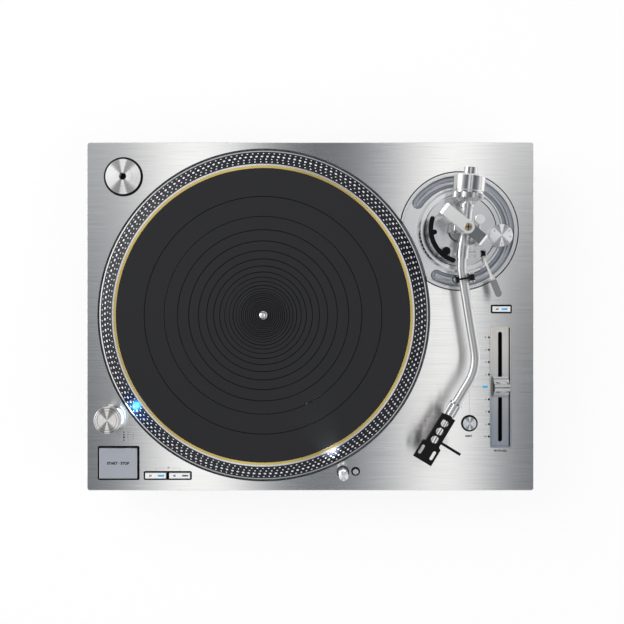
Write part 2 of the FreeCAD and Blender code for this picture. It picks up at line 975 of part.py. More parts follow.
def motor():
    magnet_low = panel_top + magnet_seat - magnet_thickness
    magnet = washer(
        platter_x, platter_y, magnet_outer_radius, magnet_inner_radius, magnet_low, panel_top + magnet_seat
    )
    save("rotor_magnet", magnet)
    board_low = dish_bottom + stator_board_height
    board_high = board_low + stator_board_thickness
    pieces = [washer(platter_x, platter_y, stator_board_radius, stator_board_hole, board_low, board_high)]
    for step in range(coil_count):
        x, y = polar(coil_ring_radius, step * 360.0 / coil_count, platter_x, platter_y)
        pieces.append(washer(x, y, coil_radius, coil_hole_radius, board_high, board_high + coil_height))
    save("stator_coils", *pieces)
    bore = shaft_radius + running_fit
    points = [
        (0, -bearing_bore_depth - bearing_floor),
        (bearing_body_radius, -bearing_bore_depth - bearing_floor),
        (bearing_body_radius, -dish_floor),
        (bearing_flange_radius, -dish_floor),
        (bearing_flange_radius, bearing_flange_height - dish_floor),
        (bearing_body_radius, bearing_flange_height - dish_floor),
        (bearing_body_radius, -bearing_top),
        (bore, -bearing_top),
        (bore, -bearing_bore_depth),
        (0, -bearing_bore_depth),
    ]
    save("bearing_housing", turned(points, platter_x, platter_y, panel_top))


def tray(x, y, width, depth):
    low = frame_top
    outer_width = width - 2 * tray_gap
    outer_depth = depth - 2 * tray_gap
    inner_width = outer_width - 2 * tray_wall
    inner_depth = outer_depth - 2 * tray_wall
    shell = rounded_block(x, y, outer_width, outer_depth, low, panel_top, opening_radius - tray_gap)
    return shell.cut(centred_block(x, y, inner_width, inner_depth, low + tray_floor, panel_top + cut_margin))


def round_bezel(x, y, outer, inner):
    cup = chamfer_top(disc(x, y, outer, frame_top, panel_top + ring_height), button_chamfer)
    return cup.cut(disc(x, y, inner, frame_top + tray_floor, panel_top + 2 * ring_height))


def button_bezels():
    trays = [
        tray(start_x, start_y, start_width, start_depth),
        tray(speed_x, speed_y, speed_width, speed_depth),
        tray(range_x, range_y, range_width, range_depth),
        round_bezel(reset_x, reset_y, reset_ring_radius, reset_radius + round_gap),
        round_bezel(target_button_x, target_button_y, target_ring_radius, target_button_radius + round_gap),
    ]
    save("button_bezels", *trays)


def key(x, y, width, depth, height):
    low = frame_top + tray_floor + key_travel + tray_gap
    return chamfer_top(centred_block(x, y, width, depth, low, panel_top + height), key_chamfer)


def keys():
    rim = 2 * (tray_gap + tray_wall)
    start_rim = rim + 2 * start_key_gap
    save("start_stop_button", key(
        start_x, start_y, start_width - start_rim, start_depth - start_rim, key_height
    ))
    small_rim = rim + 2 * small_key_gap
    width = (speed_width - small_rim - speed_key_spacing) / 2
    depth = speed_depth - small_rim
    offset = (width + speed_key_spacing) / 2
    save("speed_button_33", key(speed_x - offset, speed_y, width, depth, small_key_height))
    save("speed_button_45", key(speed_x + offset, speed_y, width, depth, small_key_height))
    width = range_width - small_rim
    depth = range_depth - small_rim
    save("range_button", key(range_x, range_y, width, depth, small_key_height))


def round_button(name, x, y, radius):
    low = frame_top + tray_floor + key_travel + tray_gap
    save(name, chamfer_top(disc(x, y, radius, low, panel_top + reset_height), button_chamfer))


def pitch_plate():
    width = pitch_width - 2 * tray_gap
    length = pitch_length - 2 * tray_gap
    low = panel_top - pitch_drop - pitch_floor
    body = rounded_block(pitch_x, pitch_y, width, length, low, panel_top, opening_radius - tray_gap)
    floor_z = panel_top - pitch_drop
    slope = (width - 2 * pitch_rim - pitch_floor_width) / 2
    rim_length = length - 2 * pitch_rim
    loops = []
    for across, along, z in (
        (pitch_floor_width, rim_length - 2 * pitch_end_slope, floor_z),
        (pitch_floor_width + 2 * slope, rim_length, panel_top + tube_fit),
    ):
        corners = [(-1, -1), (1, -1), (1, 1), (-1, 1), (-1, -1)]
        points = [Vec(pitch_x + sx * across / 2, pitch_y + sy * along / 2, z) for sx, sy in corners]
        loops.append(Part.makePolygon(points))
    body = body.cut(Part.makeLoft(loops, True, True))
    slot = slot_block(
        pitch_x, pitch_y, pitch_slot_width, pitch_slot_length, low - cut_margin, floor_z + cut_margin
    )
    save("pitch_plate", body.cut(slot).removeSplitter())


def pitch_knob():
    low = round_gap - pitch_drop
    half = knob_length / 2
    ridge = knob_ridge_length / 2
    waist = (half + ridge) / 2 - knob_hollow
    waist_height = (knob_base_height + knob_ridge_height) / 2 - knob_hollow
    edges = []
    for side in (-1, 1):
        foot_point = Vec(0, side * half, knob_base_height)
        waist_point = Vec(0, side * waist, waist_height)
        ridge_point = Vec(0, side * ridge, knob_ridge_height)
        edges.append(Part.Arc(foot_point, waist_point, ridge_point).toShape())
        edges.append(Part.makeLine(Vec(0, side * half, low), foot_point))
    edges.append(Part.makeLine(Vec(0, -half, low), Vec(0, half, low)))
    edges.append(Part.makeLine(Vec(0, -ridge, knob_ridge_height), Vec(0, ridge, knob_ridge_height)))
    outline = Part.Wire(Part.__sortEdges__(edges))
    body = Part.Face(outline).extrude(Vec(knob_width, 0, 0))
    body.translate(Vec(-knob_width / 2, 0, 0))
    line_half = knob_line_width / 2
    line_low = knob_ridge_height - knob_line_depth
    body = body.cut(
        block(-knob_width, knob_width, -line_half, line_half, line_low, knob_ridge_height + cut_margin)
    )
    stem_low = track_floor + cut_margin - track_drop
    body = body.fuse(centred_block(0, 0, knob_stem_width, knob_stem_length, stem_low, low)).removeSplitter()
    save("pitch_knob", stand(body, (pitch_x, pitch_y), 0, panel_top))


def pitch_track():
    high = panel_top - pitch_drop - pitch_floor
    low = panel_top - track_drop
    width = pitch_width - 2 * tray_gap
    length = pitch_length - 2 * tray_gap
    flange = rounded_block(pitch_x, pitch_y, width, length, frame_top, high, opening_radius - tray_gap)
    body = flange.fuse(centred_block(pitch_x, pitch_y, track_width, track_length, low, frame_top))
    channel = centred_block(
        pitch_x, pitch_y, pitch_slot_width, pitch_slot_length, low + track_floor, high + cut_margin
    )
    save("pitch_track", body.cut(channel).removeSplitter())


def sector(radius_out, radius_in, z_low, z_high, start, sweep):
    points = [(radius_in, z_low), (radius_out, z_low), (radius_out, z_high), (radius_in, z_high)]
    loop = [Vec(radius, 0, height) for radius, height in points]
    face = Part.Face(Part.makePolygon(loop + loop[:1]))
    solid = face.revolve(Vec(0, 0, 0), up_axis, sweep)
    solid.rotate(Vec(0, 0, 0), up_axis, start)
    return solid


def strobe():
    body = disc(0, 0, strobe_flange_radius, 0, strobe_flange_height)
    body = chamfer_top(body, button_chamfer)
    neck_top = strobe_body_height + power_neck_height
    body = body.fuse([
        disc(0, 0, strobe_body_radius, strobe_flange_height, strobe_body_height),
        disc(0, 0, power_neck_radius, strobe_body_height, neck_top),
        disc(0, 0, strobe_stem_radius, -strobe_stem_drop, 0),
    ])
    inner = strobe_body_radius - strobe_window_depth
    window_cut = sector(
        strobe_body_radius + cut_margin, inner, strobe_window_low, strobe_window_high,
        strobe_window_start, strobe_window_sweep)
    save("strobe_housing", stand(body.cut(window_cut).removeSplitter(), (strobe_x, strobe_y), 0, panel_top))
    window = sector(
        strobe_body_radius - tube_fit, inner, strobe_window_low, strobe_window_high,
        strobe_window_start, strobe_window_sweep)
    save("strobe_window", stand(window, (strobe_x, strobe_y), 0, panel_top))
    low = strobe_body_height + round_gap
    knob = disc(0, 0, power_knob_radius, low, low + power_knob_height)
    knob = chamfer_top(knob, 2 * button_chamfer)
    knob = knob.cut(disc(0, 0, power_neck_radius + running_fit, low, neck_top + round_gap))
    save("power_knob", stand(knob, (strobe_x, strobe_y), 0, panel_top))


def target_lamp():
    bore = lamp_radius + running_fit
    outer = lamp_radius + socket_wall
    drop = lamp_below + lamp_travel + socket_floor + cut_margin
    points = [
        (0, -drop),
        (outer, -drop),
        (outer, 0),
        (socket_flange_radius, 0),
        (socket_flange_radius, socket_flange_height / 2),
        (socket_flange_radius - socket_flange_height / 2, socket_flange_height),
        (bore, socket_flange_height),
        (bore, socket_floor - drop),
        (0, socket_floor - drop),
    ]
    save("target_socket", turned(points, lamp_x, lamp_y, panel_top))
    body = disc(0, 0, lamp_radius, -lamp_below, lamp_height)
    body = chamfer_top(body, 2 * button_chamfer)
    cut = block(
        lamp_radius - lamp_window_depth, 2 * lamp_radius, -lamp_radius, lamp_radius,
        lamp_window_low, lamp_window_high)
    cut.rotate(Vec(0, 0, 0), up_axis, math.degrees(math.atan2(platter_y - lamp_y, platter_x - lamp_x)))
    save("target_lamp", stand(body.cut(cut), (lamp_x, lamp_y), 0, panel_top))


def adaptor():
    points = [
        (adaptor_hole_radius, 0),
        (adaptor_radius, 0),
        (adaptor_radius, adaptor_shoulder),
        (adaptor_radius - adaptor_edge, adaptor_shoulder + adaptor_edge),
        (adaptor_hole_radius * 2, adaptor_height),
        (adaptor_hole_radius, adaptor_height),
    ]
    save("adaptor_45", turned(points, adaptor_x, adaptor_y, panel_top - adaptor_drop))


def moat():
    profile = Part.Face(Part.Wire(Part.makeCircle(moat_half_width, Vec(moat_radius, 0, 0), Vec(0, 1, 0))))
    channel = profile.revolve(Vec(0, 0, 0), up_axis, moat_sweep)
    ends = []
    for angle in (0, moat_sweep):
        x, y = polar(moat_radius, angle)
        ends.append(Part.makeSphere(moat_half_width, Vec(x, y, 0)))
    solid = channel.fuse(ends)
    solid.rotate(Vec(0, 0, 0), up_axis, moat_start)
    return solid


def arm_well():
    flange_low = -panel_thickness
    lip_inner = well_radius - well_lip_width
    guide = guide_radius + running_fit
    pot_inner = ring_sleeve_radius + running_fit
    points = [
        (guide, -well_pot_drop),
        (well_pot_radius, -well_pot_drop),
        (well_pot_radius, flange_low),
        (well_radius, flange_low),
        (well_radius, well_lip / 2),
        (well_radius - well_lip / 2, well_lip),
        (lip_inner + well_lip, well_lip),
        (lip_inner, 0),
        (well_land_radius, 0),
        (well_land_radius, -well_ledge),
        (pot_inner, -well_ledge),
        (pot_inner, well_pot_floor - well_pot_drop),
        (guide, well_pot_floor - well_pot_drop),
    ]
    body = turned(points).cut(moat())
    body = at_pivot(body)
    recess = recess_radius + well_edge_gap
    post = rest_post_radius + rest_hole_gap
    cuts = [
        disc(platter_x, platter_y, recess, frame_top - cut_margin, panel_top + cut_margin),
        disc(rest_point[0], rest_point[1], post, frame_top - cut_margin, panel_top + cut_margin),
    ]
    save("arm_well", body.cut(cuts).removeSplitter())


def height_ring():
    points = [
        (ring_inner_radius, -ring_sleeve_drop),
        (ring_sleeve_radius, -ring_sleeve_drop),
        (ring_sleeve_radius, -well_ledge),
        (ring_outer_radius, -well_ledge),
        (ring_outer_radius, ring_shoulder),
        (ring_top_radius, ring_top),
        (ring_inner_radius, ring_top),
        (ring_inner_radius, ring_top - plate_thickness),
        (ring_ledge_radius, ring_top - plate_thickness),
        (ring_ledge_radius, ring_top - plate_thickness - ring_ledge),
        (ring_inner_radius, ring_top - plate_thickness - ring_ledge),
    ]
    save("height_ring", at_pivot(turned(points)))


def bridge_profile():
    foot_z = ring_top
    left_inner = bridge_leg_left - bridge_left
    right_inner = bridge_right - bridge_leg_right
    soft = bridge_leg_right / 2
    points = [
        (-bridge_left, foot_z),
        (-bridge_left, bridge_top - soft),
        (soft - bridge_left, bridge_top),
        (0, bridge_top),
        (0, bridge_step_top),
        (bridge_right - soft, bridge_right_top),
        (bridge_right, bridge_right_top - soft),
        (bridge_right, foot_z),
        (right_inner, foot_z),
        (right_inner, bridge_right_top - 2 * soft),
        (right_inner - soft, bridge_underside),
        (left_inner + soft, bridge_underside),
        (left_inner, bridge_underside - soft),
        (left_inner, foot_z),
    ]
    loop = [Vec(x, -bridge_width / 2, z) for x, z in points]
    return extruded(loop, Vec(0, bridge_width, 0))


def bridge_body():
    body = bridge_profile()
    upright = [edge for edge in body.Edges if abs(edge.tangentAt(edge.FirstParameter).z) > straight_share]
    outer = [edge for edge in upright if edge.BoundBox.ZMin < ring_top + cut_margin]
    body = body.makeFillet(bridge_leg_right / 3, outer)
    body = body.fuse(disc(0, 0, bridge_pad_radius, bridge_underside, bridge_top + bridge_pad_rise))
    body.rotate(Vec(0, 0, 0), up_axis, bridge_angle)
    return body


def gimbal_bridge():
    seat = bridge_top + bridge_pad_rise - pivot_screw_head / 2
    cuts = [
        disc(0, 0, pivot_screw_radius + tube_fit, bridge_underside - cut_margin, bridge_top + cut_margin),
        disc(0, 0, pivot_screw_head_radius + pivot_screw_gap, seat, bridge_top + 2 * cut_margin),
    ]
    save("gimbal_bridge", at_pivot(bridge_body().cut(cuts).removeSplitter()))
    head = disc(0, 0, pivot_screw_head_radius, seat, seat + pivot_screw_head)
    head = chamfer_top(head, button_chamfer)
    slot_low = seat + pivot_screw_head / 2
    half = pivot_tip_radius / 3
    slots = [
        block(-pivot_screw_radius, pivot_screw_radius, -half, half, slot_low, bridge_top + 2 * cut_margin),
        block(-half, half, -pivot_screw_radius, pivot_screw_radius, slot_low, bridge_top + 2 * cut_margin),
    ]
    tip_top = gimbal_high + round_gap
    shank = disc(0, 0, pivot_screw_radius, tip_top, seat)
    tip = disc(0, 0, pivot_tip_radius, tip_top - pivot_tip_length, tip_top)
    save("pivot_screw", at_pivot(head.cut(slots).fuse([shank, tip]).removeSplitter()))


def cue_cuts():
    bore_start = cue_left_block - round_gap
    cuts = [
        Part.makeCylinder(
            cue_shaft_radius + running_fit, 2 * plate_radius,
            Vec(bore_start, cue_axis_y, cue_axis_height), forward_axis),
        block(
            cue_lever_x - cue_slot_half_width, cue_lever_x + cue_slot_half_width,
            cue_block_front - cut_margin, cue_block_back - cue_hub_radius / 2,
            cue_axis_height - cue_hub_radius - round_gap, cue_block_top + cut_margin),
    ]
    shaft = polar(lifter_shaft_place_radius, lifter_shaft_angle)
    pin = polar(lifter_pin_place_radius, lifter_pin_angle)
    cuts.append(disc(shaft[0], shaft[1], lifter_shaft_radius + running_fit, 0, lifter_boss_top + cut_margin))
    cuts.append(disc(pin[0], pin[1], lifter_pin_radius + running_fit, 0, ring_top + cut_margin))
    return cuts


def skate_block():
    low = skate_y - skate_block_half_width
    high = skate_y + skate_block_half_width
    stud_top = skate_dial_high - 2 * cut_margin
    foot_block = block(skate_block_start, plate_radius, low, high, ring_top - cut_margin, skate_block_high)
    body = foot_block.common(disc(0, 0, plate_radius, ring_top - cut_margin, skate_block_high))
    body = body.fuse([
        block(skate_block_start, skate_x, low, high, skate_block_low, skate_block_high),
        disc(skate_x, skate_y, skate_block_half_width, skate_block_low, skate_block_high),
        disc(skate_x, skate_y, skate_stud_radius, skate_block_high, stud_top),
    ])
    leg_half = bridge_width / 2 + round_gap
    leg = block(
        bridge_right - bridge_leg_right - round_gap, bridge_right + round_gap,
        -leg_half, leg_half, ring_top, skate_block_high + cut_margin)
    leg.rotate(Vec(0, 0, 0), up_axis, bridge_angle)
    return body.cut(leg).removeSplitter()


def arm_base():
    plate_low = ring_top - plate_thickness
    plate = washer(0, 0, plate_radius, plate_hole_radius, plate_low, ring_top)
    plate = plate.cut(sector(
        plate_step_radius, plate_hole_radius - cut_margin, ring_top - plate_step, ring_top + cut_margin,
        plate_step_start, plate_step_sweep))
    shaft = polar(lifter_shaft_place_radius, lifter_shaft_angle)
    block_low = ring_top - plate_thickness / 2
    within = washer(0, 0, plate_radius, plate_hole_radius, block_low, cue_block_top)
    left = block(
        cue_left_block, cue_left_block + cue_left_block_width, cue_block_front + cue_cone_radius,
        cue_block_back, block_low, cue_block_top - cut_margin)
    right = block(
        cue_right_block, cue_right_block + cue_right_block_width, cue_block_front,
        cue_block_back, block_low, cue_block_top)
    body = plate.fuse([
        washer(0, 0, guide_radius, guide_radius - guide_wall, -guide_drop, plate_low + cut_margin),
        disc(0, 0, guide_radius - guide_wall / 2, guide_floor_low, guide_floor_high),
        disc(0, 0, pivot_boss_radius, guide_floor_low, pivot_boss_top),
        disc(shaft[0], shaft[1], lifter_boss_radius, plate_low, lifter_boss_top),
        left.common(within),
        right.common(within),
        skate_block(),
        disc(lock_x, lock_y, pivot_pin_radius, block_low, ring_top + lock_height - cut_margin),
    ])
    cuts = cue_cuts()
    cuts.append(disc(
        0, 0, pivot_pin_radius + running_fit, guide_floor_low + cut_margin, pivot_boss_top + cut_margin
    ))
    save("arm_base", at_pivot(body.cut(cuts).removeSplitter()))


def anti_skate_dial():
    low = skate_block_high + round_gap
    body = toothed_prism(skate_radius, skate_tooth_depth, skate_teeth, skate_dial_high - low)
    body.translate(Vec(0, 0, low))
    edge = 2 * button_chamfer
    outline = [
        (0, low),
        (skate_radius - edge, low),
        (skate_radius, low + edge),
        (skate_radius, skate_dial_high - edge),
        (skate_radius - edge, skate_dial_high),
        (0, skate_dial_high),
    ]
    body = body.common(turned(outline))
    body = body.cut(disc(0, 0, skate_stud_radius + running_fit, low, skate_dial_high - 2 * cut_margin))
    body.translate(Vec(skate_x, skate_y, 0))
    save("anti_skate_dial", at_pivot(body))


def lock_knob():
    low = ring_top + lock_gap
    body = chamfer_top(disc(0, 0, lock_radius, low, ring_top + lock_height), button_chamfer)
    body = body.cut(
        disc(0, 0, pivot_pin_radius + running_fit, low, ring_top + lock_height - cut_margin + round_gap)
    )
    body.translate(Vec(lock_x, lock_y, 0))
    save("lock_knob", at_pivot(body))


def cue_lever():
    shaft_start = cue_left_block - round_gap
    shaft_end = cue_right_block + cue_right_block_width
    shaft = Part.makeCylinder(cue_shaft_radius, shaft_end - shaft_start, Vec(shaft_start, 0, 0), forward_axis)
    hub = Part.makeCylinder(
        cue_hub_radius, 2 * cue_hub_half_width, Vec(cue_lever_x - cue_hub_half_width, 0, 0), forward_axis)
    cone_end = cue_rod_length + cue_cone_length
    arm = rod_along(0, cue_rod_length, cue_rod_radius)
    cone = Part.makeCone(
        cue_rod_radius, cue_cone_radius, cue_cone_length, Vec(cue_rod_length, 0, 0), forward_axis
    )
    half = cue_paddle_width / 2
    thick = cue_paddle_thickness / 2
    straight = block(cone_end, cone_end + cue_paddle_length - half, -half, half, -thick, thick)
    tip = disc(cone_end + cue_paddle_length - half, 0, half, -thick, thick)
    paddle = straight.fuse(tip).removeSplitter()
    long_edges = [
        edge for edge in paddle.Edges
        if edge.Length > half and abs(edge.tangentAt(edge.FirstParameter).z) < 1 - straight_share
    ]
    paddle = paddle.makeFillet(thick / 2, long_edges)
    arm = arm.fuse([cone, paddle])
    arm.rotate(Vec(0, 0, 0), Vec(0, 1, 0), -cue_lever_rise)
    arm.rotate(Vec(0, 0, 0), up_axis, cue_lever_plan)
    arm.translate(Vec(cue_lever_x, 0, 0))
    body = shaft.fuse([hub, arm]).removeSplitter()
    body.translate(Vec(0, cue_axis_y, cue_axis_height))
    save("cue_lever", at_pivot(body))


def cue_lifter():
    low = lifter_top - lifter_thickness
    body = sector(lifter_outer_radius, lifter_inner_radius, low, lifter_top, lifter_start, lifter_sweep)
    half = (lifter_outer_radius - lifter_inner_radius) / 2
    added = []
    for angle in (lifter_start, lifter_start + lifter_sweep):
        x, y = polar(lifter_inner_radius + half, angle)
        added.append(disc(x, y, half, low, lifter_top))
    shaft = polar(lifter_shaft_place_radius, lifter_shaft_angle)
    pin = polar(lifter_pin_place_radius, lifter_pin_angle)
    added.append(disc(shaft[0], shaft[1], lifter_lobe_radius, low - cut_margin, lifter_lobe_top))
    added.append(disc(pin[0], pin[1], lifter_pin_lobe_radius, low - cut_margin, lifter_lobe_top))
    added.append(disc(shaft[0], shaft[1], lifter_shaft_radius, cut_margin, low))
    added.append(disc(pin[0], pin[1], lifter_pin_radius, ring_top - plate_thickness, low))
    save("cue_lifter", at_pivot(body.fuse(added).removeSplitter()))


def gimbal_ring():
    thick = gimbal_half_thickness
    outer = block(-thick, thick, -gimbal_half_width, gimbal_half_width, gimbal_low, gimbal_high)
    corners = [edge for edge in outer.Edges if abs(edge.tangentAt(edge.FirstParameter).x) > straight_share]
    frame = outer.makeFillet(gimbal_corner, corners)
    inner_half = gimbal_inner_half_width
    frame = frame.cut(
        block(-2 * thick, 2 * thick, -inner_half, inner_half, gimbal_inner_low, gimbal_inner_high)
    )
    cap_start = gimbal_half_width - cut_margin
    caps = []
    for side in (-1, 1):
        length = cross_cap_height + cut_margin
        base = Vec(0, side * cap_start, arm_axis_height)
        caps.append(Part.makeCylinder(cross_cap_radius, length, base, Vec(0, side, 0)))
    caps.append(disc(0, 0, gimbal_disc_radius, gimbal_disc_low, gimbal_low))
    caps.append(disc(0, 0, pivot_pin_radius, guide_floor_low + 2 * cut_margin, gimbal_disc_low))
    frame = frame.fuse(caps)
    reach = cross_pin_reach + round_gap
    cross = Part.makeCylinder(
        cross_pin_radius + running_fit, 2 * reach, Vec(0, -reach, arm_axis_height), Vec(0, 1, 0))
    top = disc(0, 0, pivot_tip_radius + running_fit, gimbal_high - pivot_tip_length, gimbal_high + cut_margin)
    frame = frame.cut([cross, top]).removeSplitter()
    save("gimbal_ring", stand(frame, arm_pivot, arm_rest_angle, panel_top))


def pivot_housing():
    points = [
        (-rear_shaft_end, 0),
        (-rear_shaft_end, rear_shaft_radius),
        (-collar_end, rear_shaft_radius),
        (-collar_end, collar_radius),
        (-collar_start, collar_radius),
        (-collar_start, neck_radius),
        (-housing_end, neck_radius),
        (-housing_end, housing_radius),
        (-housing_start, housing_radius),
        (-hub_half_length, sleeve_narrow_radius),
        (hub_half_length, sleeve_narrow_radius),
        (sleeve_wide_at, sleeve_wide_radius),
        (sleeve_end, sleeve_end_radius),
        (sleeve_end, 0),
    ]
    body = turned_along(points)
    hub = rounded_hub()
    pins = Part.makeCylinder(cross_pin_radius, 2 * cross_pin_reach, Vec(0, -cross_pin_reach, 0), Vec(0, 1, 0))
    body = body.fuse([hub, pins])
    bore = rod_along(sleeve_end - tube_inset, sleeve_end + cut_margin, tube_radius + tube_fit)
    save("pivot_housing", on_arm(body.cut(bore).removeSplitter()))


def rounded_hub():
    height = hub_radius
    hub = block(-hub_half_length, hub_half_length, -hub_half_width, hub_half_width, -height, height)
    return hub.makeFillet(hub_half_length / 3, hub.Edges)


def arm_path():
    start = Vec(sleeve_end - tube_inset + tube_fit, 0, 0)
    corner_one = Vec(arm_leg_one, 0, 0)
    x, y = polar(arm_leg_two, arm_kick, arm_leg_one, 0)
    corner_two = Vec(x, y, 0)
    end_x, end_y = polar(arm_leg_three - tube_end_gap, arm_kick - arm_offset_turn, x, y)
    end = Vec(end_x, end_y, 0)
    return [start, corner_one, corner_two, end]


def rounded_path(points, radii):
    edges = []
    last = points[0]
    for before, corner, after, radius in zip(points, points[1:], points[2:], radii):
        incoming = (corner - before).normalize()
        outgoing = (after - corner).normalize()
        turn = incoming.getAngle(outgoing)
        reach = radius * math.tan(turn / 2)
        bend_start = corner - incoming * reach
        bend_end = corner + outgoing * reach
        inward = (outgoing - incoming).normalize()
        middle = corner + inward * (radius / math.cos(turn / 2) - radius)
        edges.append(Part.makeLine(last, bend_start))
        edges.append(Part.Arc(bend_start, middle, bend_end).toShape())
        last = bend_end
    edges.append(Part.makeLine(last, points[-1]))
    return Part.Wire(edges)


def swept_rod(path, radius, direction):
    start = path.Vertexes[0].Point
    profile = Part.Wire(Part.makeCircle(radius, start, direction))
    return path.makePipeShell([profile], True, False)


def arm_tube():
    path = rounded_path(arm_path(), (arm_bend_one, arm_bend_two))
    outer = swept_rod(path, tube_radius, forward_axis)
    inner = swept_rod(path, tube_radius - tube_wall, forward_axis)
    save("arm_tube", on_arm(outer.cut(inner)))


def counterweight():
    bore = rear_shaft_radius + weight_fit
    edge = weight_groove
    points = [
        (-weight_rear, bore),
        (-weight_rear, weight_radius - edge),
        (edge - weight_rear, weight_radius),
        (-weight_front - 3 * edge, weight_radius),
        (-weight_front - 2 * edge, weight_radius - edge),
        (-weight_front - edge, weight_radius - edge),
        (-weight_front, weight_radius - edge),
        (-weight_front, bore),
    ]
    save("counterweight", on_arm(turned_along(points)))


def force_dial():
    bore = rear_shaft_radius + weight_fit
    length = dial_rear - dial_front
    teeth = toothed_prism(dial_radius, dial_tooth_depth, dial_teeth, length)
    teeth.rotate(Vec(0, 0, 0), Vec(0, 1, 0), -90)
    teeth.translate(Vec(-dial_front, 0, 0))
    cone = turned_along([
        (-dial_front - cut_margin, 0),
        (-dial_front - cut_margin, dial_cone_radius),
        (-dial_front, dial_cone_radius),
        (-dial_nose, dial_nose_radius),
        (-dial_nose, 0),
    ])
    body = teeth.fuse(cone).cut(rod_along(-dial_rear - cut_margin, 0, bore))
    save("force_dial", on_arm(body.removeSplitter()))


def auxiliary_weight():
    end = rear_shaft_end + auxiliary_length
    edge = weight_groove
    points = [
        (-end, 0),
        (-end, auxiliary_radius - edge),
        (edge - end, auxiliary_radius),
        (-rear_shaft_end, auxiliary_radius),
        (-rear_shaft_end, 0),
    ]
    save("auxiliary_weight", on_arm(turned_along(points)))


def headshell_nut():
    bore = tube_radius + nut_fit
    length = nut_rear - nut_front - nut_flange_length
    teeth = toothed_prism(nut_radius, nut_tooth_depth, nut_teeth, length)
    teeth.rotate(Vec(0, 0, 0), Vec(0, 1, 0), -90)
    teeth.translate(Vec(-nut_front, 0, 0))
    flange = rod_along(-nut_rear, nut_flange_length - nut_rear, nut_flange_radius)
    body = teeth.fuse(flange).cut(rod_along(-nut_rear - cut_margin, 0, bore))
    save("headshell_nut", on_shell(body.removeSplitter()))


def shell_outline(inset):
    rear = shell_rear_half_width - inset
    front = shell_front_half_width - inset
    step = shell_step_at
    end = shell_length
    return [
        Vec(0, -rear, 0),
        Vec(step, -rear, 0),
        Vec(step + shell_step_length, -front, 0),
        Vec(end, -front, 0),
        Vec(end, front, 0),
        Vec(step + shell_step_length, front, 0),
        Vec(step, rear, 0),
        Vec(0, rear, 0),
    ]


def headshell():
    solid = extruded(shell_outline(0), Vec(0, 0, shell_top + shell_flange_drop))
    solid.translate(Vec(0, 0, -shell_flange_drop))
    hollow = extruded(
        shell_outline(shell_flange_wall), Vec(0, 0, shell_flange_drop + shell_top - shell_thickness)
    )
    hollow.translate(Vec(0, 0, -shell_flange_drop))
    keep_rear = block(
        -cut_margin, shell_block_length, -shell_length, shell_length, -shell_length, shell_length
    )
    body = solid.cut(hollow.cut(keep_rear))
    body = body.cut(shell_relief())
    holes = []
    for step in range(shell_hole_count):
        along = shell_hole_start + step * shell_hole_pitch
        holes.append(disc(
            along, 0, shell_hole_radius, shell_top - shell_thickness - cut_margin, shell_top + cut_margin
        ))
    for side in (-1, 1):
        slot = slot_block(
            0, 0, shell_slot_width, shell_slot_length, -shell_flange_drop, shell_top + cut_margin
        )
        slot.rotate(Vec(0, 0, 0), up_axis, 90)
        slot.translate(Vec(shell_slot_at, side * shell_slot_spacing / 2, 0))
        holes.append(slot)
    body = body.cut(holes)
    plug = rod_along(-shell_plug_length, cut_margin, shell_plug_radius)
    body = body.fuse([plug, finger_lift()])
    save("headshell", on_shell(body.removeSplitter()))


def shell_relief():
    low = -shell_flange_drop - cut_margin
    side = shell_front_half_width + cut_margin
    points = [
        Vec(shell_block_length, -side, low),
        Vec(shell_length + cut_margin, -side, low),
        Vec(shell_length + cut_margin, -side, shell_top - shell_thickness),
        Vec(shell_length - shell_flange_drop, -side, shell_top - shell_thickness),
        Vec(shell_step_at, -side, -shell_flange_drop / 2),
        Vec(shell_block_length * 2, -side, -shell_block_drop),
    ]
    return extruded(points, Vec(0, 2 * side, 0))


def finger_lift():
    reach = shell_rear_half_width + finger_length
    half = finger_width / 2
    root = shell_rear_half_width - shell_flange_wall / 2
    low = shell_top - shell_thickness
    points = [
        Vec(-half, root, low),
        Vec(-half, root + finger_length / 4, low),
        Vec(-half, reach, low + finger_rise),
        Vec(-half, reach, low + finger_rise + finger_thickness),
        Vec(-half, root + finger_length / 4, low + finger_thickness),
        Vec(-half, root, low + finger_thickness),
    ]
    lift = extruded(points, Vec(finger_width, 0, 0))
    lift.translate(Vec(finger_at, 0, 0))
    return lift


def lead_wires():
    wires = []
    level = shell_top - shell_thickness - 2 * wire_radius - wire_clip_radius
    for step in range(wire_count):
        across = (step - (wire_count - 1) / 2) * wire_pitch
        sag = level - wire_dip * (1 + step % 2) / 2
        points = [
            Vec(shell_block_length, across, level),
            Vec(shell_block_length + wire_bend, across, level),
            Vec(wire_end / 2, across * wire_spread, sag),
            Vec(wire_end - 2 * wire_bend, across * wire_spread, sag),
            Vec(wire_end, across * wire_spread, level),
        ]
        path = rounded_path(points, (wire_bend, wire_bend, wire_bend))
        wire = swept_rod(path, wire_radius, forward_axis)
        forward = (points[-1] - points[-2]).normalize()
        base = points[-1] - forward * wire_radius
        clip = Part.makeCylinder(wire_clip_radius, wire_clip_length, base, forward)
        wires.append(on_shell(wire.fuse(clip)))
    save("lead_wires", *wires)


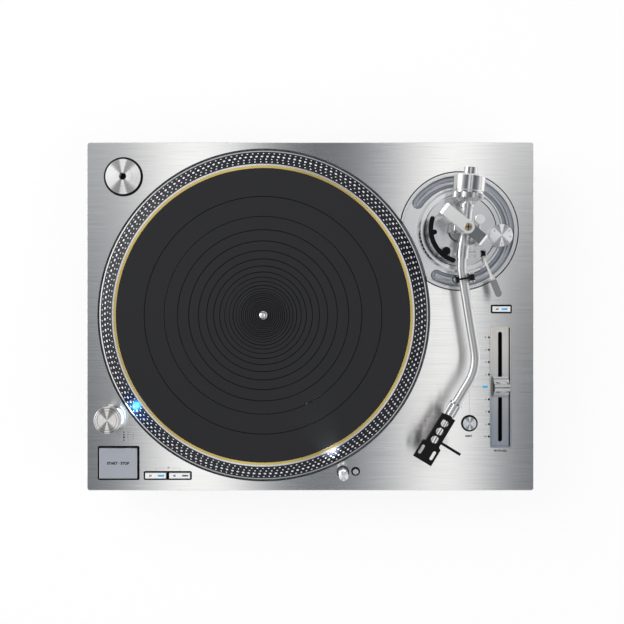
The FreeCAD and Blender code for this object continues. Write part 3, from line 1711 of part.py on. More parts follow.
def arm_rest():
    tube_low = -tube_radius
    cradle = block(-rest_half_length, rest_half_length, -rest_left, rest_right, -rest_low, rest_wall_top)
    above = block(
        -2 * rest_half_length, 2 * rest_half_length, -2 * rest_left, rest_wall_inner,
        0, 2 * rest_wall_top)
    open_side = block(
        -2 * rest_half_length, 2 * rest_half_length, -2 * rest_left, 0,
        tube_low - rest_open_side_gap, 2 * rest_wall_top)
    groove = rod_along(-2 * rest_half_length, 2 * rest_half_length, tube_radius + rest_groove_gap)
    body = cradle.cut([above, open_side, groove])
    ear_near = clip_block_half + clip_ear_gap
    ear_far = ear_near + clip_ear_thickness
    ear_radius = clip_pin_radius + clip_ear_thickness
    for side in (-1, 1):
        x_low = min(side * ear_near, side * ear_far)
        x_high = max(side * ear_near, side * ear_far)
        web = block(x_low, x_high, rest_wall_inner, rest_right, -rest_low / 2, clip_hinge_z)
        eye = Part.makeCylinder(
            ear_radius, clip_ear_thickness, Vec(x_low, clip_hinge_y, clip_hinge_z), forward_axis
        )
        body = body.fuse([web, eye])
    shelf = block(-ear_far, ear_far, rest_wall_inner, rest_right, -rest_low / 2, 0)
    pin = Part.makeCylinder(
        clip_pin_radius, 2 * ear_far, Vec(-ear_far, clip_hinge_y, clip_hinge_z), forward_axis
    )
    post_bottom = guide_bottom - arm_axis
    post = disc(0, 0, rest_post_radius, post_bottom - rest_bracket_thickness, -rest_low)
    collar = disc(0, 0, rest_collar_radius, -rest_low - rest_collar_length, -rest_low)
    body = body.fuse([shelf, pin, post, collar])
    bracket_angle = math.degrees(math.atan2(rest_point[1] - pivot_y, rest_point[0] - pivot_x))
    reach = math.hypot(rest_point[0] - pivot_x, rest_point[1] - pivot_y) + rest_bracket_width / 2
    bracket = centred_block(
        (rest_bracket_start + reach) / 2, 0, reach - rest_bracket_start, rest_bracket_width,
        guide_bottom - rest_bracket_thickness, guide_bottom)
    bracket = stand(bracket, arm_pivot, bracket_angle, 0)
    save("arm_rest", on_rest(body).fuse(bracket).removeSplitter())


def arm_rest_clip():
    half = clip_block_half
    knuckle_low = clip_hinge_y - clip_pin_radius - clip_ear_thickness
    knuckle_high = clip_hinge_y + clip_pin_radius + clip_ear_thickness
    body = block(-half, half, knuckle_low, knuckle_high, clip_block_low, clip_block_high)
    long_edges = [edge for edge in body.Edges if abs(edge.tangentAt(edge.FirstParameter).x) > straight_share]
    body = body.makeFillet(button_chamfer * 2, long_edges)
    strap = block(
        -clip_strap_half_width, clip_strap_half_width, -clip_tip_near - cut_margin, knuckle_low + cut_margin,
        clip_strap_low, clip_strap_high)
    tip = block(-half, half, -clip_tip_far, -clip_tip_near, clip_block_low, clip_tip_high)
    tip = chamfer_top(tip, button_chamfer)
    body = body.fuse([strap, tip])
    bore = Part.makeCylinder(
        clip_pin_radius + clip_fit, 4 * half, Vec(-2 * half, clip_hinge_y, clip_hinge_z), forward_axis)
    save("arm_rest_clip", on_rest(body.cut(bore).removeSplitter()))


def jack_places():
    middle = pocket_x - jack_spacing / 2
    return [middle - jack_spacing / 2, middle + jack_spacing / 2]


def phono_jacks():
    rear = plinth_depth / 2 - frame_inset
    back = rear - pocket_depth
    face = back + jack_plate_thickness
    z = frame_bottom + pocket_low + pocket_height / 2
    width = pocket_width - 2 * jack_plate_gap
    height = pocket_height - 2 * jack_plate_gap
    body = block(pocket_x - width / 2, pocket_x + width / 2, back, face, z - height / 2, z + height / 2)
    rearward = Vec(0, 1, 0)
    for x in jack_places():
        body = body.fuse([
            Part.makeCylinder(jack_hex_radius, jack_hex_height, Vec(x, face, z), rearward),
            Part.makeCylinder(jack_radius, jack_length, Vec(x, face + jack_hex_height, z), rearward),
        ])
        body = body.cut(Part.makeCylinder(
            jack_bore_radius, jack_length, Vec(x, face + jack_hex_height + cut_margin, z), rearward
        ))
    earth_x = pocket_x + earth_offset
    post = Part.makeCylinder(earth_post_radius, jack_length, Vec(earth_x, face, z), rearward)
    knob = Part.makeCylinder(
        earth_knob_radius, earth_knob_length, Vec(earth_x, face + jack_hex_height, z), rearward
    )
    save("phono_jacks", body.fuse([post, knob]).removeSplitter())


def mains_inlet():
    rear = plinth_depth / 2 - frame_inset
    low = frame_bottom + inlet_low
    middle = low + inlet_height / 2
    body = block(
        inlet_x - inlet_width / 2, inlet_x + inlet_width / 2, rear - inlet_depth, rear,
        low, low + inlet_height)
    flange = block(
        inlet_x - inlet_flange_width / 2, inlet_x + inlet_flange_width / 2,
        rear - inlet_flange_thickness, rear,
        middle - inlet_flange_height / 2, middle + inlet_flange_height / 2)
    body = body.fuse(flange)
    cavity_low = middle - inlet_cavity_height / 2
    body = body.cut(block(
        inlet_x - inlet_cavity_width / 2, inlet_x + inlet_cavity_width / 2, rear - inlet_cavity_depth,
        rear + cut_margin, cavity_low, cavity_low + inlet_cavity_height))
    pins = []
    pin_places = [(-inlet_pin_spacing / 2, 0.0), (inlet_pin_spacing / 2, 0.0), (0.0, inlet_pin_offset)]
    for across, rise in pin_places:
        x = inlet_x + across
        z = middle + rise
        root = rear - inlet_cavity_depth
        pins.append(block(
            x - inlet_pin_width / 2, x + inlet_pin_width / 2, root - cut_margin, root + inlet_pin_length,
            z - inlet_pin_height / 2, z + inlet_pin_height / 2))
    save("mains_inlet", body.fuse(pins).removeSplitter())


def control_board():
    low = frame_bottom + board_standoff
    high = low + board_thickness
    body = centred_block(board_x, board_y, board_width, board_depth, low, high)
    added = []
    for step in range(board_chip_count):
        x = board_x + (step - (board_chip_count - 1) / 2) * 2 * board_chip_size
        added.append(
            centred_block(x, board_y, board_chip_size, board_chip_size, high, high + board_chip_height)
        )
        y = board_y + board_depth / 2 - 2 * board_capacitor_radius
        added.append(disc(x, y, board_capacitor_radius, high, high + board_capacitor_height))
    save("control_board", body.fuse(added).removeSplitter())


def power_supply():
    body = rounded_block(
        supply_x, supply_y, supply_width, supply_depth, frame_bottom, frame_bottom + supply_height,
        supply_corner_radius)
    save("power_supply", chamfer_top(body, cut_margin))


os.makedirs("parts", exist_ok=True)
top_panel()
cabinet_frame()
inner_base()
rubber_base()
case_screws()
for foot_name, place in foot_places().items():
    foot(foot_name, place[0], place[1])
platter()
platter_plate()
platter_mat()
spindle()
motor()
button_bezels()
keys()
round_button("reset_button", reset_x, reset_y, reset_radius)
round_button("target_button", target_button_x, target_button_y, target_button_radius)
pitch_plate()
pitch_knob()
pitch_track()
strobe()
target_lamp()
adaptor()
arm_well()
height_ring()
arm_base()
gimbal_bridge()
gimbal_ring()
pivot_housing()
arm_tube()
counterweight()
force_dial()
auxiliary_weight()
headshell_nut()
headshell()
lead_wires()
anti_skate_dial()
lock_knob()
cue_lever()
cue_lifter()
arm_rest()
arm_rest_clip()
control_board()
power_supply()
phono_jacks()
mains_inlet()
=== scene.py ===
import json
import math

import bmesh
import bpy
from mathutils import Matrix, Vector


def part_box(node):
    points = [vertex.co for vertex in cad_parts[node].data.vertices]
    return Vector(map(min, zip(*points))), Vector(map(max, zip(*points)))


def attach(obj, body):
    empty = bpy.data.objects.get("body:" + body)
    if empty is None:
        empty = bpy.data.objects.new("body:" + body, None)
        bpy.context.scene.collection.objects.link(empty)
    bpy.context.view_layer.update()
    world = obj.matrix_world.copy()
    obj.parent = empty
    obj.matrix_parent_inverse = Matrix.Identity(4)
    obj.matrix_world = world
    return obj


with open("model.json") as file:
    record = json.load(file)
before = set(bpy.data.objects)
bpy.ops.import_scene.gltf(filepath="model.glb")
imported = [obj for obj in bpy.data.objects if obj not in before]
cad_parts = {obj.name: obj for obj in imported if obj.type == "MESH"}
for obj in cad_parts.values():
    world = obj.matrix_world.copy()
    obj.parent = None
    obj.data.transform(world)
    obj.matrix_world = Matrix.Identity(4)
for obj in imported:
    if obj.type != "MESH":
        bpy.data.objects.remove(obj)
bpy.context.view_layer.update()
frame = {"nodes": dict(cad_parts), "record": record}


nodes = frame["nodes"]
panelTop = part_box("top_panel")[1].z
print("frame loaded:", len(nodes), "nodes")


def middle(node):
    low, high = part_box(node)
    return (low + high) / 2


def spot(x, y, z=0.0):
    # millimetres on the panel, z above its top
    return Vector((x / 1000, y / 1000, panelTop + z / 1000))


def heightOf(point):
    # millimetres above the panel's top
    return (point.z - panelTop) * 1000


def topOf(node):
    return heightOf(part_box(node)[1])


def awayFrom(centre, point):
    # how far the point lies from the upright axis through the centre
    return math.hypot(point.x - centre.x, point.y - centre.y)


def within(value, limits):
    return limits[0] < value < limits[1]


# finishes

plainLook = {
    # what a finish is where its own look doesn't say otherwise
    "grain": "fine", "pitch": 2500.0, "angle": 0.0, "drawn": "across", "drawnOut": 0.0,
    "metal": 0.0, "shine": 0.5, "coat": 0.0, "coatRough": 0.1,
    "grainTint": 0.04, "grainRough": 0.12, "contrast": (0.38, 0.62),
    "cloud": 30.0, "patchy": 0.06, "relief": 0.2, "depth": 0.01, "paintedWedge": 0.0,
}
# painted highlight and shade: light and dark wedges multiplied into the colour, standing in for how light
# falls on a face that was turned on a lathe
paintedLatheWedges = {"unevenScale": 3.0, "uneven": 0.35, "broad": (0.5, 0.88), "thin": (0.955, 0.995),
              "thinLevel": 0.9}


def wire(tree, source, target):
    tree.links.new(source, target)


def calc(tree, operation, *terms):
    step = tree.nodes.new("ShaderNodeMath")
    step.operation = operation
    for place, term in enumerate(terms):
        if isinstance(term, (int, float)):
            step.inputs[place].default_value = term
        else:
            wire(tree, term, step.inputs[place])
    return step.outputs[0]


def vectorCalc(tree, operation, first, second=None):
    step = tree.nodes.new("ShaderNodeVectorMath")
    step.operation = operation
    for place, term in enumerate((first, second)):
        if term is None:
            continue
        if isinstance(term, tuple):
            step.inputs[place].default_value = term
        else:
            wire(tree, term, step.inputs[place])
    return step.outputs["Value" if operation == "LENGTH" else 0]


def noise(tree, vector, scale, detail, flat=False):
    step = tree.nodes.new("ShaderNodeTexNoise")
    step.inputs["Scale"].default_value = scale
    step.inputs["Detail"].default_value = detail
    step.inputs["Roughness"].default_value = 0.6
    if flat:
        step.noise_dimensions = "1D"
        wire(tree, vector, step.inputs["W"])
    else:
        wire(tree, vector, step.inputs["Vector"])
    return step.outputs[0]


def spread(tree, value, low, high, fromLow=0.3, fromHigh=0.7):
    step = tree.nodes.new("ShaderNodeMapRange")
    wire(tree, value, step.inputs["Value"])
    step.inputs["From Min"].default_value = fromLow
    step.inputs["From Max"].default_value = fromHigh
    step.inputs["To Min"].default_value = low
    step.inputs["To Max"].default_value = high
    return step.outputs["Result"]


def grainOf(tree, look, place, centre):
    # the fine pattern of the finish, and the way its highlight is drawn out
    if look["grain"] == "spun":
        out = vectorCalc(tree, "SUBTRACT", place, (centre[0], centre[1], 0.0))
        out = vectorCalc(tree, "MULTIPLY", out, (1.0, 1.0, 0.0))
        radius = vectorCalc(tree, "LENGTH", out)
        return noise(tree, radius, look["pitch"], detail=3.0, flat=True), vectorCalc(tree, "NORMALIZE", out)
    if look["grain"] == "line":
        turn = math.radians(look["angle"])
        step = tree.nodes.new("ShaderNodeMapping")
        step.vector_type = "TEXTURE"
        step.inputs["Rotation"].default_value = (0.0, 0.0, turn)
        step.inputs["Scale"].default_value = look["stretch"]
        wire(tree, place, step.inputs["Vector"])
        along = turn + (math.pi / 2 if look["drawn"] == "across" else 0.0)
        way = tree.nodes.new("ShaderNodeCombineXYZ")
        way.inputs[0].default_value = math.cos(along)
        way.inputs[1].default_value = math.sin(along)
        return noise(tree, step.outputs[0], 1.0, detail=3.0), way.outputs[0]
    return noise(tree, place, look["pitch"], detail=4.0), None


def smooth(tree, value, low, high):
    step = tree.nodes.new("ShaderNodeMapRange")
    step.interpolation_type = "SMOOTHSTEP"
    wire(tree, value, step.inputs["Value"])
    step.inputs["From Min"].default_value = low
    step.inputs["From Max"].default_value = high
    return step.outputs["Result"]


# painted highlight and shade: a factor that lightens the colour in broad and thin wedges round a turned face
# and darkens it between them
def wedges(tree, tangent, strength):
    way = tree.nodes.new("ShaderNodeSeparateXYZ")
    wire(tree, tangent, way.inputs[0])
    uneven = calc(tree, "SUBTRACT", noise(tree, tangent, paintedLatheWedges["unevenScale"], detail=2.0), 0.5)
    uneven = calc(tree, "MULTIPLY", uneven, paintedLatheWedges["uneven"])
    sideways = calc(tree, "ADD", calc(tree, "ABSOLUTE", way.outputs[0]), uneven)
    broad = smooth(tree, sideways, *paintedLatheWedges["broad"])
    thin = smooth(tree, calc(tree, "ABSOLUTE", way.outputs[1]), *paintedLatheWedges["thin"])
    bright = calc(tree, "MAXIMUM", broad, calc(tree, "MULTIPLY", thin, paintedLatheWedges["thinLevel"]))
    return calc(tree, "ADD", calc(tree, "MULTIPLY", bright, strength), 1 - strength)


def triple(tree, value):
    step = tree.nodes.new("ShaderNodeCombineXYZ")
    for place in range(3):
        wire(tree, value, step.inputs[place])
    return step.outputs[0]


def finish(name, look, centre=(0.0, 0.0)):
    look = {**plainLook, **look}
    made = bpy.data.materials.new(name)
    made.use_nodes = True
    tree = made.node_tree
    tree.nodes.clear()
    out = tree.nodes.new("ShaderNodeOutputMaterial")
    shader = tree.nodes.new("ShaderNodeBsdfPrincipled")
    wire(tree, shader.outputs[0], out.inputs[0])
    tint, rough = look["tint"], look["rough"]
    shader.inputs["Metallic"].default_value = look["metal"]
    shader.inputs["Specular IOR Level"].default_value = look["shine"]
    shader.inputs["Coat Weight"].default_value = look["coat"]
    shader.inputs["Coat Roughness"].default_value = look["coatRough"]
    shader.inputs["Anisotropic"].default_value = look["drawnOut"]
    place = tree.nodes.new("ShaderNodeTexCoord").outputs["Object"]
    grain, tangent = grainOf(tree, look, place, centre)
    cloud = noise(tree, place, look["cloud"], detail=2.0)
    ramp = tree.nodes.new("ShaderNodeValToRGB")
    for bit, position, sign in zip(ramp.color_ramp.elements, look["contrast"], (-1, 1)):
        bit.position = position
        bit.color = (*[min(1.0, v * (1 + sign * look["grainTint"])) for v in tint], 1)
    wire(tree, grain, ramp.inputs[0])
    tone = ramp.outputs[0]
    # painted highlight and shade in wedges, multiplied into the base colour
    if look["paintedWedge"]:
        tone = vectorCalc(tree, "MULTIPLY", tone, triple(tree, wedges(tree, tangent, look["paintedWedge"])))
    if "paintedShadeFade" in look:
        # painted shade: the tint changes along y, from the low end's tint to the high end's, in place of a
        # reflection that darkens along the piece
        low, high, lowTint, highTint = look["paintedShadeFade"]
        away = tree.nodes.new("ShaderNodeSeparateXYZ")
        wire(tree, place, away.inputs[0])
        blend = tree.nodes.new("ShaderNodeValToRGB")
        blend.color_ramp.elements[0].color = (*lowTint, 1)
        blend.color_ramp.elements[1].color = (*highTint, 1)
        wire(tree, smooth(tree, away.outputs[1], low, high), blend.inputs[0])
        tone = vectorCalc(tree, "MULTIPLY", tone, blend.outputs[0])
    wire(tree, tone, shader.inputs["Base Color"])
    change = look["grainRough"]
    fine = spread(tree, grain, rough * (1 - change), rough * (1 + change))
    wide = spread(tree, cloud, 1 - look["patchy"], 1 + look["patchy"])
    wire(tree, calc(tree, "MULTIPLY", fine, wide), shader.inputs["Roughness"])
    bump = tree.nodes.new("ShaderNodeBump")
    bump.inputs["Strength"].default_value = look["relief"]
    bump.inputs["Distance"].default_value = look["depth"] / 1000
    wire(tree, grain, bump.inputs["Height"])
    wire(tree, bump.outputs[0], shader.inputs["Normal"])
    if tangent is not None and look["drawnOut"]:
        wire(tree, tangent, shader.inputs["Tangent"])
    if "glow" in look:
        shader.inputs["Emission Color"].default_value = (*look["glow"], 1)
        shader.inputs["Emission Strength"].default_value = look["glowLevel"]
    return made


silver = {"tint": (0.80, 0.80, 0.805), "metal": 1.0, "rough": 0.25}
spunSilver = {**silver, "tint": (0.88, 0.88, 0.885), "metal": 0.5, "shine": 0.8, "grain": "spun",
              "pitch": 3500.0, "drawnOut": 1.0, "rough": 0.3, "depth": 0.002, "paintedWedge": 0.62}
castSilver = {**silver, "tint": (0.74, 0.75, 0.77), "rough": 0.2, "pitch": 4200.0, "depth": 0.004}
turnedSilver = {**silver, "grain": "line", "angle": -95.6, "stretch": (0.00025, 0.02, 0.02),
                "drawn": "along", "drawnOut": 0.3, "grainTint": 0.03, "rough": 0.17, "depth": 0.001}
drawnSilver = {**silver, "pitch": 4000.0, "rough": 0.34, "metal": 0.95, "grainTint": 0.02, "depth": 0.002}
blackPlastic = {"tint": (0.006, 0.006, 0.0065), "rough": 0.38, "shine": 0.15, "pitch": 5200.0, "depth": 0.006}

finishes = {
    "panel_metal": {**silver, "grain": "line", "stretch": (0.05, 0.0004, 0.0004), "drawnOut": 0.95,
                    "rough": 0.19, "grainTint": 0.07, "grainRough": 0.06, "depth": 0.004, "relief": 0.045,
                    "patchy": 0.01},
    "frame_metal": {**castSilver, "tint": (0.56, 0.57, 0.58), "rough": 0.4},
    "base_rubber": {"tint": (0.02, 0.02, 0.022), "rough": 0.68, "pitch": 1800.0, "depth": 0.03},
    "inner_compound": {"tint": (0.05, 0.05, 0.052), "rough": 0.75, "pitch": 900.0, "depth": 0.04},
    "screw_steel": {**silver, "tint": (0.58, 0.58, 0.6), "rough": 0.3},
    "foot_metal": {**spunSilver, "tint": (0.7, 0.7, 0.71), "metal": 0.9, "paintedWedge": 0.3},
    "foot_rubber": {"tint": (0.018, 0.018, 0.02), "rough": 0.8, "pitch": 1500.0, "depth": 0.05},
    "platter_metal": {**spunSilver, "metal": 0.8, "rough": 0.2, "drawnOut": 0.4, "paintedWedge": 0.2},
    "plate_brass": {"tint": (0.95, 0.72, 0.24), "metal": 1.0, "rough": 0.24, "grain": "spun",
                    "pitch": 300.0, "drawnOut": 0.4, "depth": 0.0005, "relief": 0.03, "grainTint": 0.02,
                    "paintedWedge": 0.2},
    "mat_rubber": {"tint": (0.0125, 0.0125, 0.0142), "rough": 0.42, "shine": 0.35, "grain": "spun",
                   "pitch": 1400.0, "depth": 0.02, "grainTint": 0.1},
    "spindle_steel": {**spunSilver, "metal": 1.0, "rough": 0.12, "drawnOut": 0.3, "paintedWedge": 0.2},
    "magnet": {"tint": (0.03, 0.03, 0.035), "rough": 0.5, "metal": 0.4},
    "coil_copper": {"tint": (0.72, 0.32, 0.16), "metal": 1.0, "rough": 0.3, "grain": "line",
                    "stretch": (0.01, 0.0006, 0.0006)},
    "bearing_brass": {"tint": (0.76, 0.6, 0.3), "metal": 1.0, "rough": 0.3},
    "key_metal": {**silver, "tint": (0.9, 0.905, 0.91), "metal": 0.25, "grain": "line", "drawnOut": 0.5,
                  "rough": 0.34, "stretch": (0.02, 0.00035, 0.00035), "depth": 0.002, "relief": 0.05,
                  "grainTint": 0.02},
    "bezel_black": {**blackPlastic, "tint": (0.003, 0.003, 0.0035), "rough": 0.3},
    # the trough's tint fades darker and bluer towards the front: painted shade standing in for its darker
    # reflection there
    "trough_metal": {**silver, "tint": (0.82, 0.81, 0.8), "metal": 0.6, "grain": "line", "angle": 90.0,
                     "drawnOut": 0.6, "stretch": (0.05, 0.0006, 0.0006), "rough": 0.32,
                     "paintedShadeFade": (-0.125, -0.02, (0.42, 0.47, 0.54), (0.98, 0.96, 0.93))},
    "knob_metal": {**silver, "tint": (0.9, 0.9, 0.91), "grain": "line", "stretch": (0.02, 0.0004, 0.0004),
                   "rough": 0.2, "depth": 0.002, "relief": 0.03, "grainTint": 0.02},
    "track_plastic": {**blackPlastic, "tint": (0.008, 0.008, 0.009)},
    "strobe_metal": {**spunSilver, "tint": (0.86, 0.84, 0.82), "paintedWedge": 0.7},
    "strobe_lens": {"tint": (0.8, 0.9, 1.0), "rough": 0.2, "pitch": 2500.0, "glow": (0.55, 0.75, 1.0),
                    "glowLevel": 4.0, "coat": 0.5},
    "lamp_metal": {**spunSilver, "rough": 0.2, "paintedWedge": 0.4},
    "socket_black": {"tint": (0.1, 0.1, 0.105), "metal": 1.0, "rough": 0.3, "pitch": 4000.0},
    "adaptor_metal": {**spunSilver, "tint": (0.91, 0.9, 0.89)},
    "well_metal": {**castSilver, "tint": (0.85, 0.86, 0.88), "rough": 0.22},
    "ring_metal": {**castSilver, "rough": 0.16},
    "armbase_metal": {**castSilver, "tint": (0.72, 0.73, 0.75), "rough": 0.22},
    "bridge_metal": {**castSilver, "tint": (0.9, 0.9, 0.9), "rough": 0.22},
    "screw_brass": {"tint": (0.48, 0.39, 0.29), "metal": 1.0, "rough": 0.3, "pitch": 5000.0, "depth": 0.002},
    "gimbal_metal": {**castSilver, "tint": (0.62, 0.63, 0.65), "rough": 0.28},
    "tube_metal": drawnSilver,
    "housing_metal": {**turnedSilver, "rough": 0.32},
    "weight_metal": turnedSilver,
    "dial_metal": {**turnedSilver, "tint": (0.72, 0.72, 0.73)},
    "nut_metal": {**turnedSilver, "angle": -121.0, "tint": (0.8, 0.8, 0.81)},
    "shell_black": {"tint": (0.004, 0.004, 0.0045), "rough": 0.36, "shine": 0.2, "grain": "line",
                    "angle": -121.0, "stretch": (0.02, 0.0004, 0.0004), "depth": 0.006},
    "wire": {"tint": (0.7, 0.68, 0.66), "rough": 0.4, "pitch": 3000.0},
    "skate_metal": {**spunSilver, "tint": (0.88, 0.89, 0.9), "metal": 0.4, "paintedWedge": 0.6},
    "lock_metal": {**castSilver, "tint": (0.84, 0.84, 0.85), "metal": 0.6},
    "lever_steel": {**drawnSilver, "tint": (0.86, 0.82, 0.79), "metal": 0.7},
    "lifter_black": {"tint": (0.003, 0.003, 0.0035), "rough": 0.4, "shine": 0.15, "pitch": 3000.0,
                     "depth": 0.02},
    "rest_metal": {**castSilver, "rough": 0.24},
    "clip_metal": {"tint": (0.004, 0.004, 0.0045), "rough": 0.35, "shine": 0.2, "pitch": 4500.0},
    "board_green": {"tint": (0.02, 0.16, 0.06), "rough": 0.45, "pitch": 1500.0, "grainTint": 0.15},
    "supply_metal": {**castSilver, "tint": (0.5, 0.5, 0.51)},
    "jack_metal": {"tint": (0.83, 0.68, 0.36), "metal": 1.0, "rough": 0.2, "pitch": 4000.0},
    "inlet_plastic": blackPlastic,
}

extraLooks = {
    "platterPaint": {"tint": (0.008, 0.009, 0.016), "rough": 0.25, "shine": 0.24, "pitch": 3800.0,
                     "depth": 0.005},
    "wireRed": {"tint": (0.3, 0.012, 0.012), "rough": 0.4, "pitch": 3000.0},
    "wireBlue": {"tint": (0.03, 0.04, 0.08), "rough": 0.4, "pitch": 3000.0},
    "wireGreen": {"tint": (0.16, 0.1, 0.07), "rough": 0.4, "pitch": 3000.0},
    "lampLens": {"tint": (0.9, 0.95, 1.0), "rough": 0.15, "pitch": 2500.0, "glow": (0.95, 0.98, 1.0),
                 "glowLevel": 3.0, "coat": 0.5},
    "paddleGrey": {"tint": (0.2, 0.205, 0.21), "metal": 0.3, "rough": 0.3, "pitch": 4000.0},
    "moatPaintedShade": {**castSilver, "tint": (0.55, 0.57, 0.61), "rough": 0.22, "depth": 0.002},
    # near black: the jacks' parts nearer the cabinet, and painted shade in gaps, grooves, recesses and slots
    "blackAndPaintedGapShade": {"tint": (0.004, 0.004, 0.0045), "rough": 0.6, "shine": 0.2, "pitch": 2000.0},
    "paintedSideShade": {"tint": (0.02, 0.021, 0.023), "metal": 0.3, "rough": 0.3, "pitch": 4000.0},
}
extras = {name: finish(name, look) for name, look in extraLooks.items()}

# keys with a look of their own; the start key's darker, bluer tint is painted shade
keyLooks = {
    "start_stop_button": {**silver, "tint": (0.52, 0.545, 0.6), "metal": 0.7, "grain": "line",
                          "drawnOut": 0.5, "rough": 0.32, "stretch": (0.03, 0.0003, 0.0003),
                          "depth": 0.002, "relief": 0.03, "grainTint": 0.015, "grainRough": 0.03},
    "reset_button": {**spunSilver, "tint": (0.8, 0.83, 0.86)},
    "target_button": {**spunSilver, "tint": (0.6, 0.61, 0.63), "paintedWedge": 0.4},
}

shared = {}
for part in frame["record"]["subparts"]:
    node, slotName = part["node"], part["material_slot"]
    look = keyLooks.get(node, finishes[slotName])
    if look.get("grain") == "spun":
        centre = middle(node)
        material = finish(f"{slotName}_{node}", look, (centre.x, centre.y))
    elif node in keyLooks:
        material = finish(f"{slotName}_{node}", look)
    else:
        if slotName not in shared:
            shared[slotName] = finish(slotName, look)
        material = shared[slotName]
    nodes[node].data.materials.clear()
    nodes[node].data.materials.append(material)
print("finishes set")


def repaint(node, extra, test):
    # faces whose middle passes the test take the extra finish
    mesh = nodes[node].data
    mesh.materials.append(extras[extra])
    for face in mesh.polygons:
        if test(face.center, face.normal):
            face.material_index = len(mesh.materials) - 1


platterMiddle = middle("platter")
# in millimetres, and every limit of the tests after this one in metres
bevel = {"radius": (151.3, 164.9), "height": (2.3, 13.9), "facingUp": 0.2}


def onBevel(point, normal):
    return (within(awayFrom(platterMiddle, point) * 1000, bevel["radius"])
            and within(heightOf(point), bevel["height"]) and normal.z > bevel["facingUp"])


repaint("platter", "platterPaint", onBevel)

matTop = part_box("platter_mat")[1].z
groove = {"depth": 0.0012, "lip": 0.00015, "facingUp": 0.8}


def inGroove(point, normal):
    return point.z > matTop - groove["depth"] and (
        point.z < matTop - groove["lip"] or normal.z < groove["facingUp"])


# painted shade: the walls and floors of the mat's grooves are near black
repaint("platter_mat", "blackAndPaintedGapShade", inGroove)

lampMiddle = middle("target_lamp")
towardPlatter = (platterMiddle - lampMiddle).to_2d().normalized()
lens = {"low": 0.0149, "high": 0.0221, "facingPlatter": 0.97}


def onLens(point, normal):
    return (lens["low"] < point.z - panelTop < lens["high"]
            and normal.to_2d().dot(towardPlatter) > lens["facingPlatter"])


repaint("target_lamp", "lampLens", onLens)

adaptorMiddle = middle("adaptor_45")
adaptorEdges = {"face": 0.0178, "recess": 0.0208, "recessDepth": 0.0004, "facingUp": 0.9}


def onAdaptorEdge(point, normal):
    return awayFrom(adaptorMiddle, point) > adaptorEdges["face"] and normal.z < adaptorEdges["facingUp"]


def inAdaptorRecess(point):
    return (awayFrom(adaptorMiddle, point) < adaptorEdges["recess"]
            and point.z < panelTop - adaptorEdges["recessDepth"])


wellMiddle, wellTop = middle("arm_well"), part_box("arm_well")[1].z
wellEdges = {"panelWall": (0.0585, 0.062), "face": 0.0575, "moat": (0.0425, 0.0575), "moatDepth": 0.0008,
             "ringGap": (0.0352, 0.0367), "upright": 0.4, "facingUp": 0.9}


def roundWell(point, normal):
    return (within(awayFrom(wellMiddle, point), wellEdges["panelWall"])
            and abs(normal.z) < wellEdges["upright"])


def onWellEdge(point, normal):
    return awayFrom(wellMiddle, point) > wellEdges["face"] and normal.z < wellEdges["facingUp"]


def inMoat(point, normal):
    return (within(awayFrom(wellMiddle, point), wellEdges["moat"])
            and point.z < wellTop - wellEdges["moatDepth"])


def betweenRings(point, normal):
    # the walls of the thin gap between the arm's base and the height ring
    return (within(awayFrom(wellMiddle, point), wellEdges["ringGap"])
            and abs(normal.z) < wellEdges["upright"])


# painted shade: the gaps round the adaptor and the arm well, the adaptor's recess, and the gap between the
# arm's base and the height ring are near black
repaint("top_panel", "blackAndPaintedGapShade", lambda point, normal: inAdaptorRecess(point) or roundWell(point, normal))
repaint("arm_base", "blackAndPaintedGapShade", betweenRings)
repaint("height_ring", "blackAndPaintedGapShade", betweenRings)
# painted shade: the moat's channel takes a darker, bluer tint than the rest of the well
repaint("arm_well", "moatPaintedShade", inMoat)
repaint("arm_well", "blackAndPaintedGapShade", onWellEdge)
repaint("adaptor_45", "blackAndPaintedGapShade", onAdaptorEdge)

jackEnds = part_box("phono_jacks")[1].y
jacks = {"length": 0.0088}
repaint("phono_jacks", "blackAndPaintedGapShade", lambda point, normal: point.y < jackEnds - jacks["length"])

lever = {"hub": Vector((0.1714, 0.0629, 0.0)), "paddle": 0.0285, "root": 0.0042, "facingUp": -0.5}


def onPaddle(point, normal):
    return awayFrom(lever["hub"], point) > lever["paddle"] and point.y < lever["hub"].y


def onLeverRoot(point, normal):
    return awayFrom(lever["hub"], point) < lever["root"] and normal.z > lever["facingUp"]


repaint("cue_lever", "paddleGrey", onPaddle)
# painted shade: the lever's root, where it enters its slot, is near black
repaint("cue_lever", "blackAndPaintedGapShade", onLeverRoot)

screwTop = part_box("pivot_screw")[1].z
cross = {"lip": 0.0003, "depth": 0.002, "reach": 0.003, "facingUp": -0.5}


def inCross(point, normal):
    # the cross cut into the screw's head
    return (screwTop - cross["depth"] < point.z < screwTop - cross["lip"] and normal.z > cross["facingUp"]
            and awayFrom(wellMiddle, point) < cross["reach"])


# painted shade: the cross cut into the screw's head is near black
repaint("pivot_screw", "blackAndPaintedGapShade", inCross)

knobMiddle, knobTop = middle("pitch_knob"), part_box("pitch_knob")[1].z
knob = {"lineLip": 0.0001, "lineDepth": 0.0005, "lineHalf": 0.0005, "side": 0.0045, "facing": -0.35}
troughMiddle = middle("pitch_plate")
trough = {"side": 0.004, "facing": -0.3}


def onKnobLine(point, normal):
    return (knobTop - knob["lineDepth"] < point.z < knobTop - knob["lineLip"]
            and abs(point.y - knobMiddle.y) < knob["lineHalf"])


def onKnobSide(point, normal):
    return point.x < knobMiddle.x - knob["side"] and normal.x < knob["facing"]


def onTroughSide(point, normal):
    return point.x > troughMiddle.x + trough["side"] and normal.x < trough["facing"]


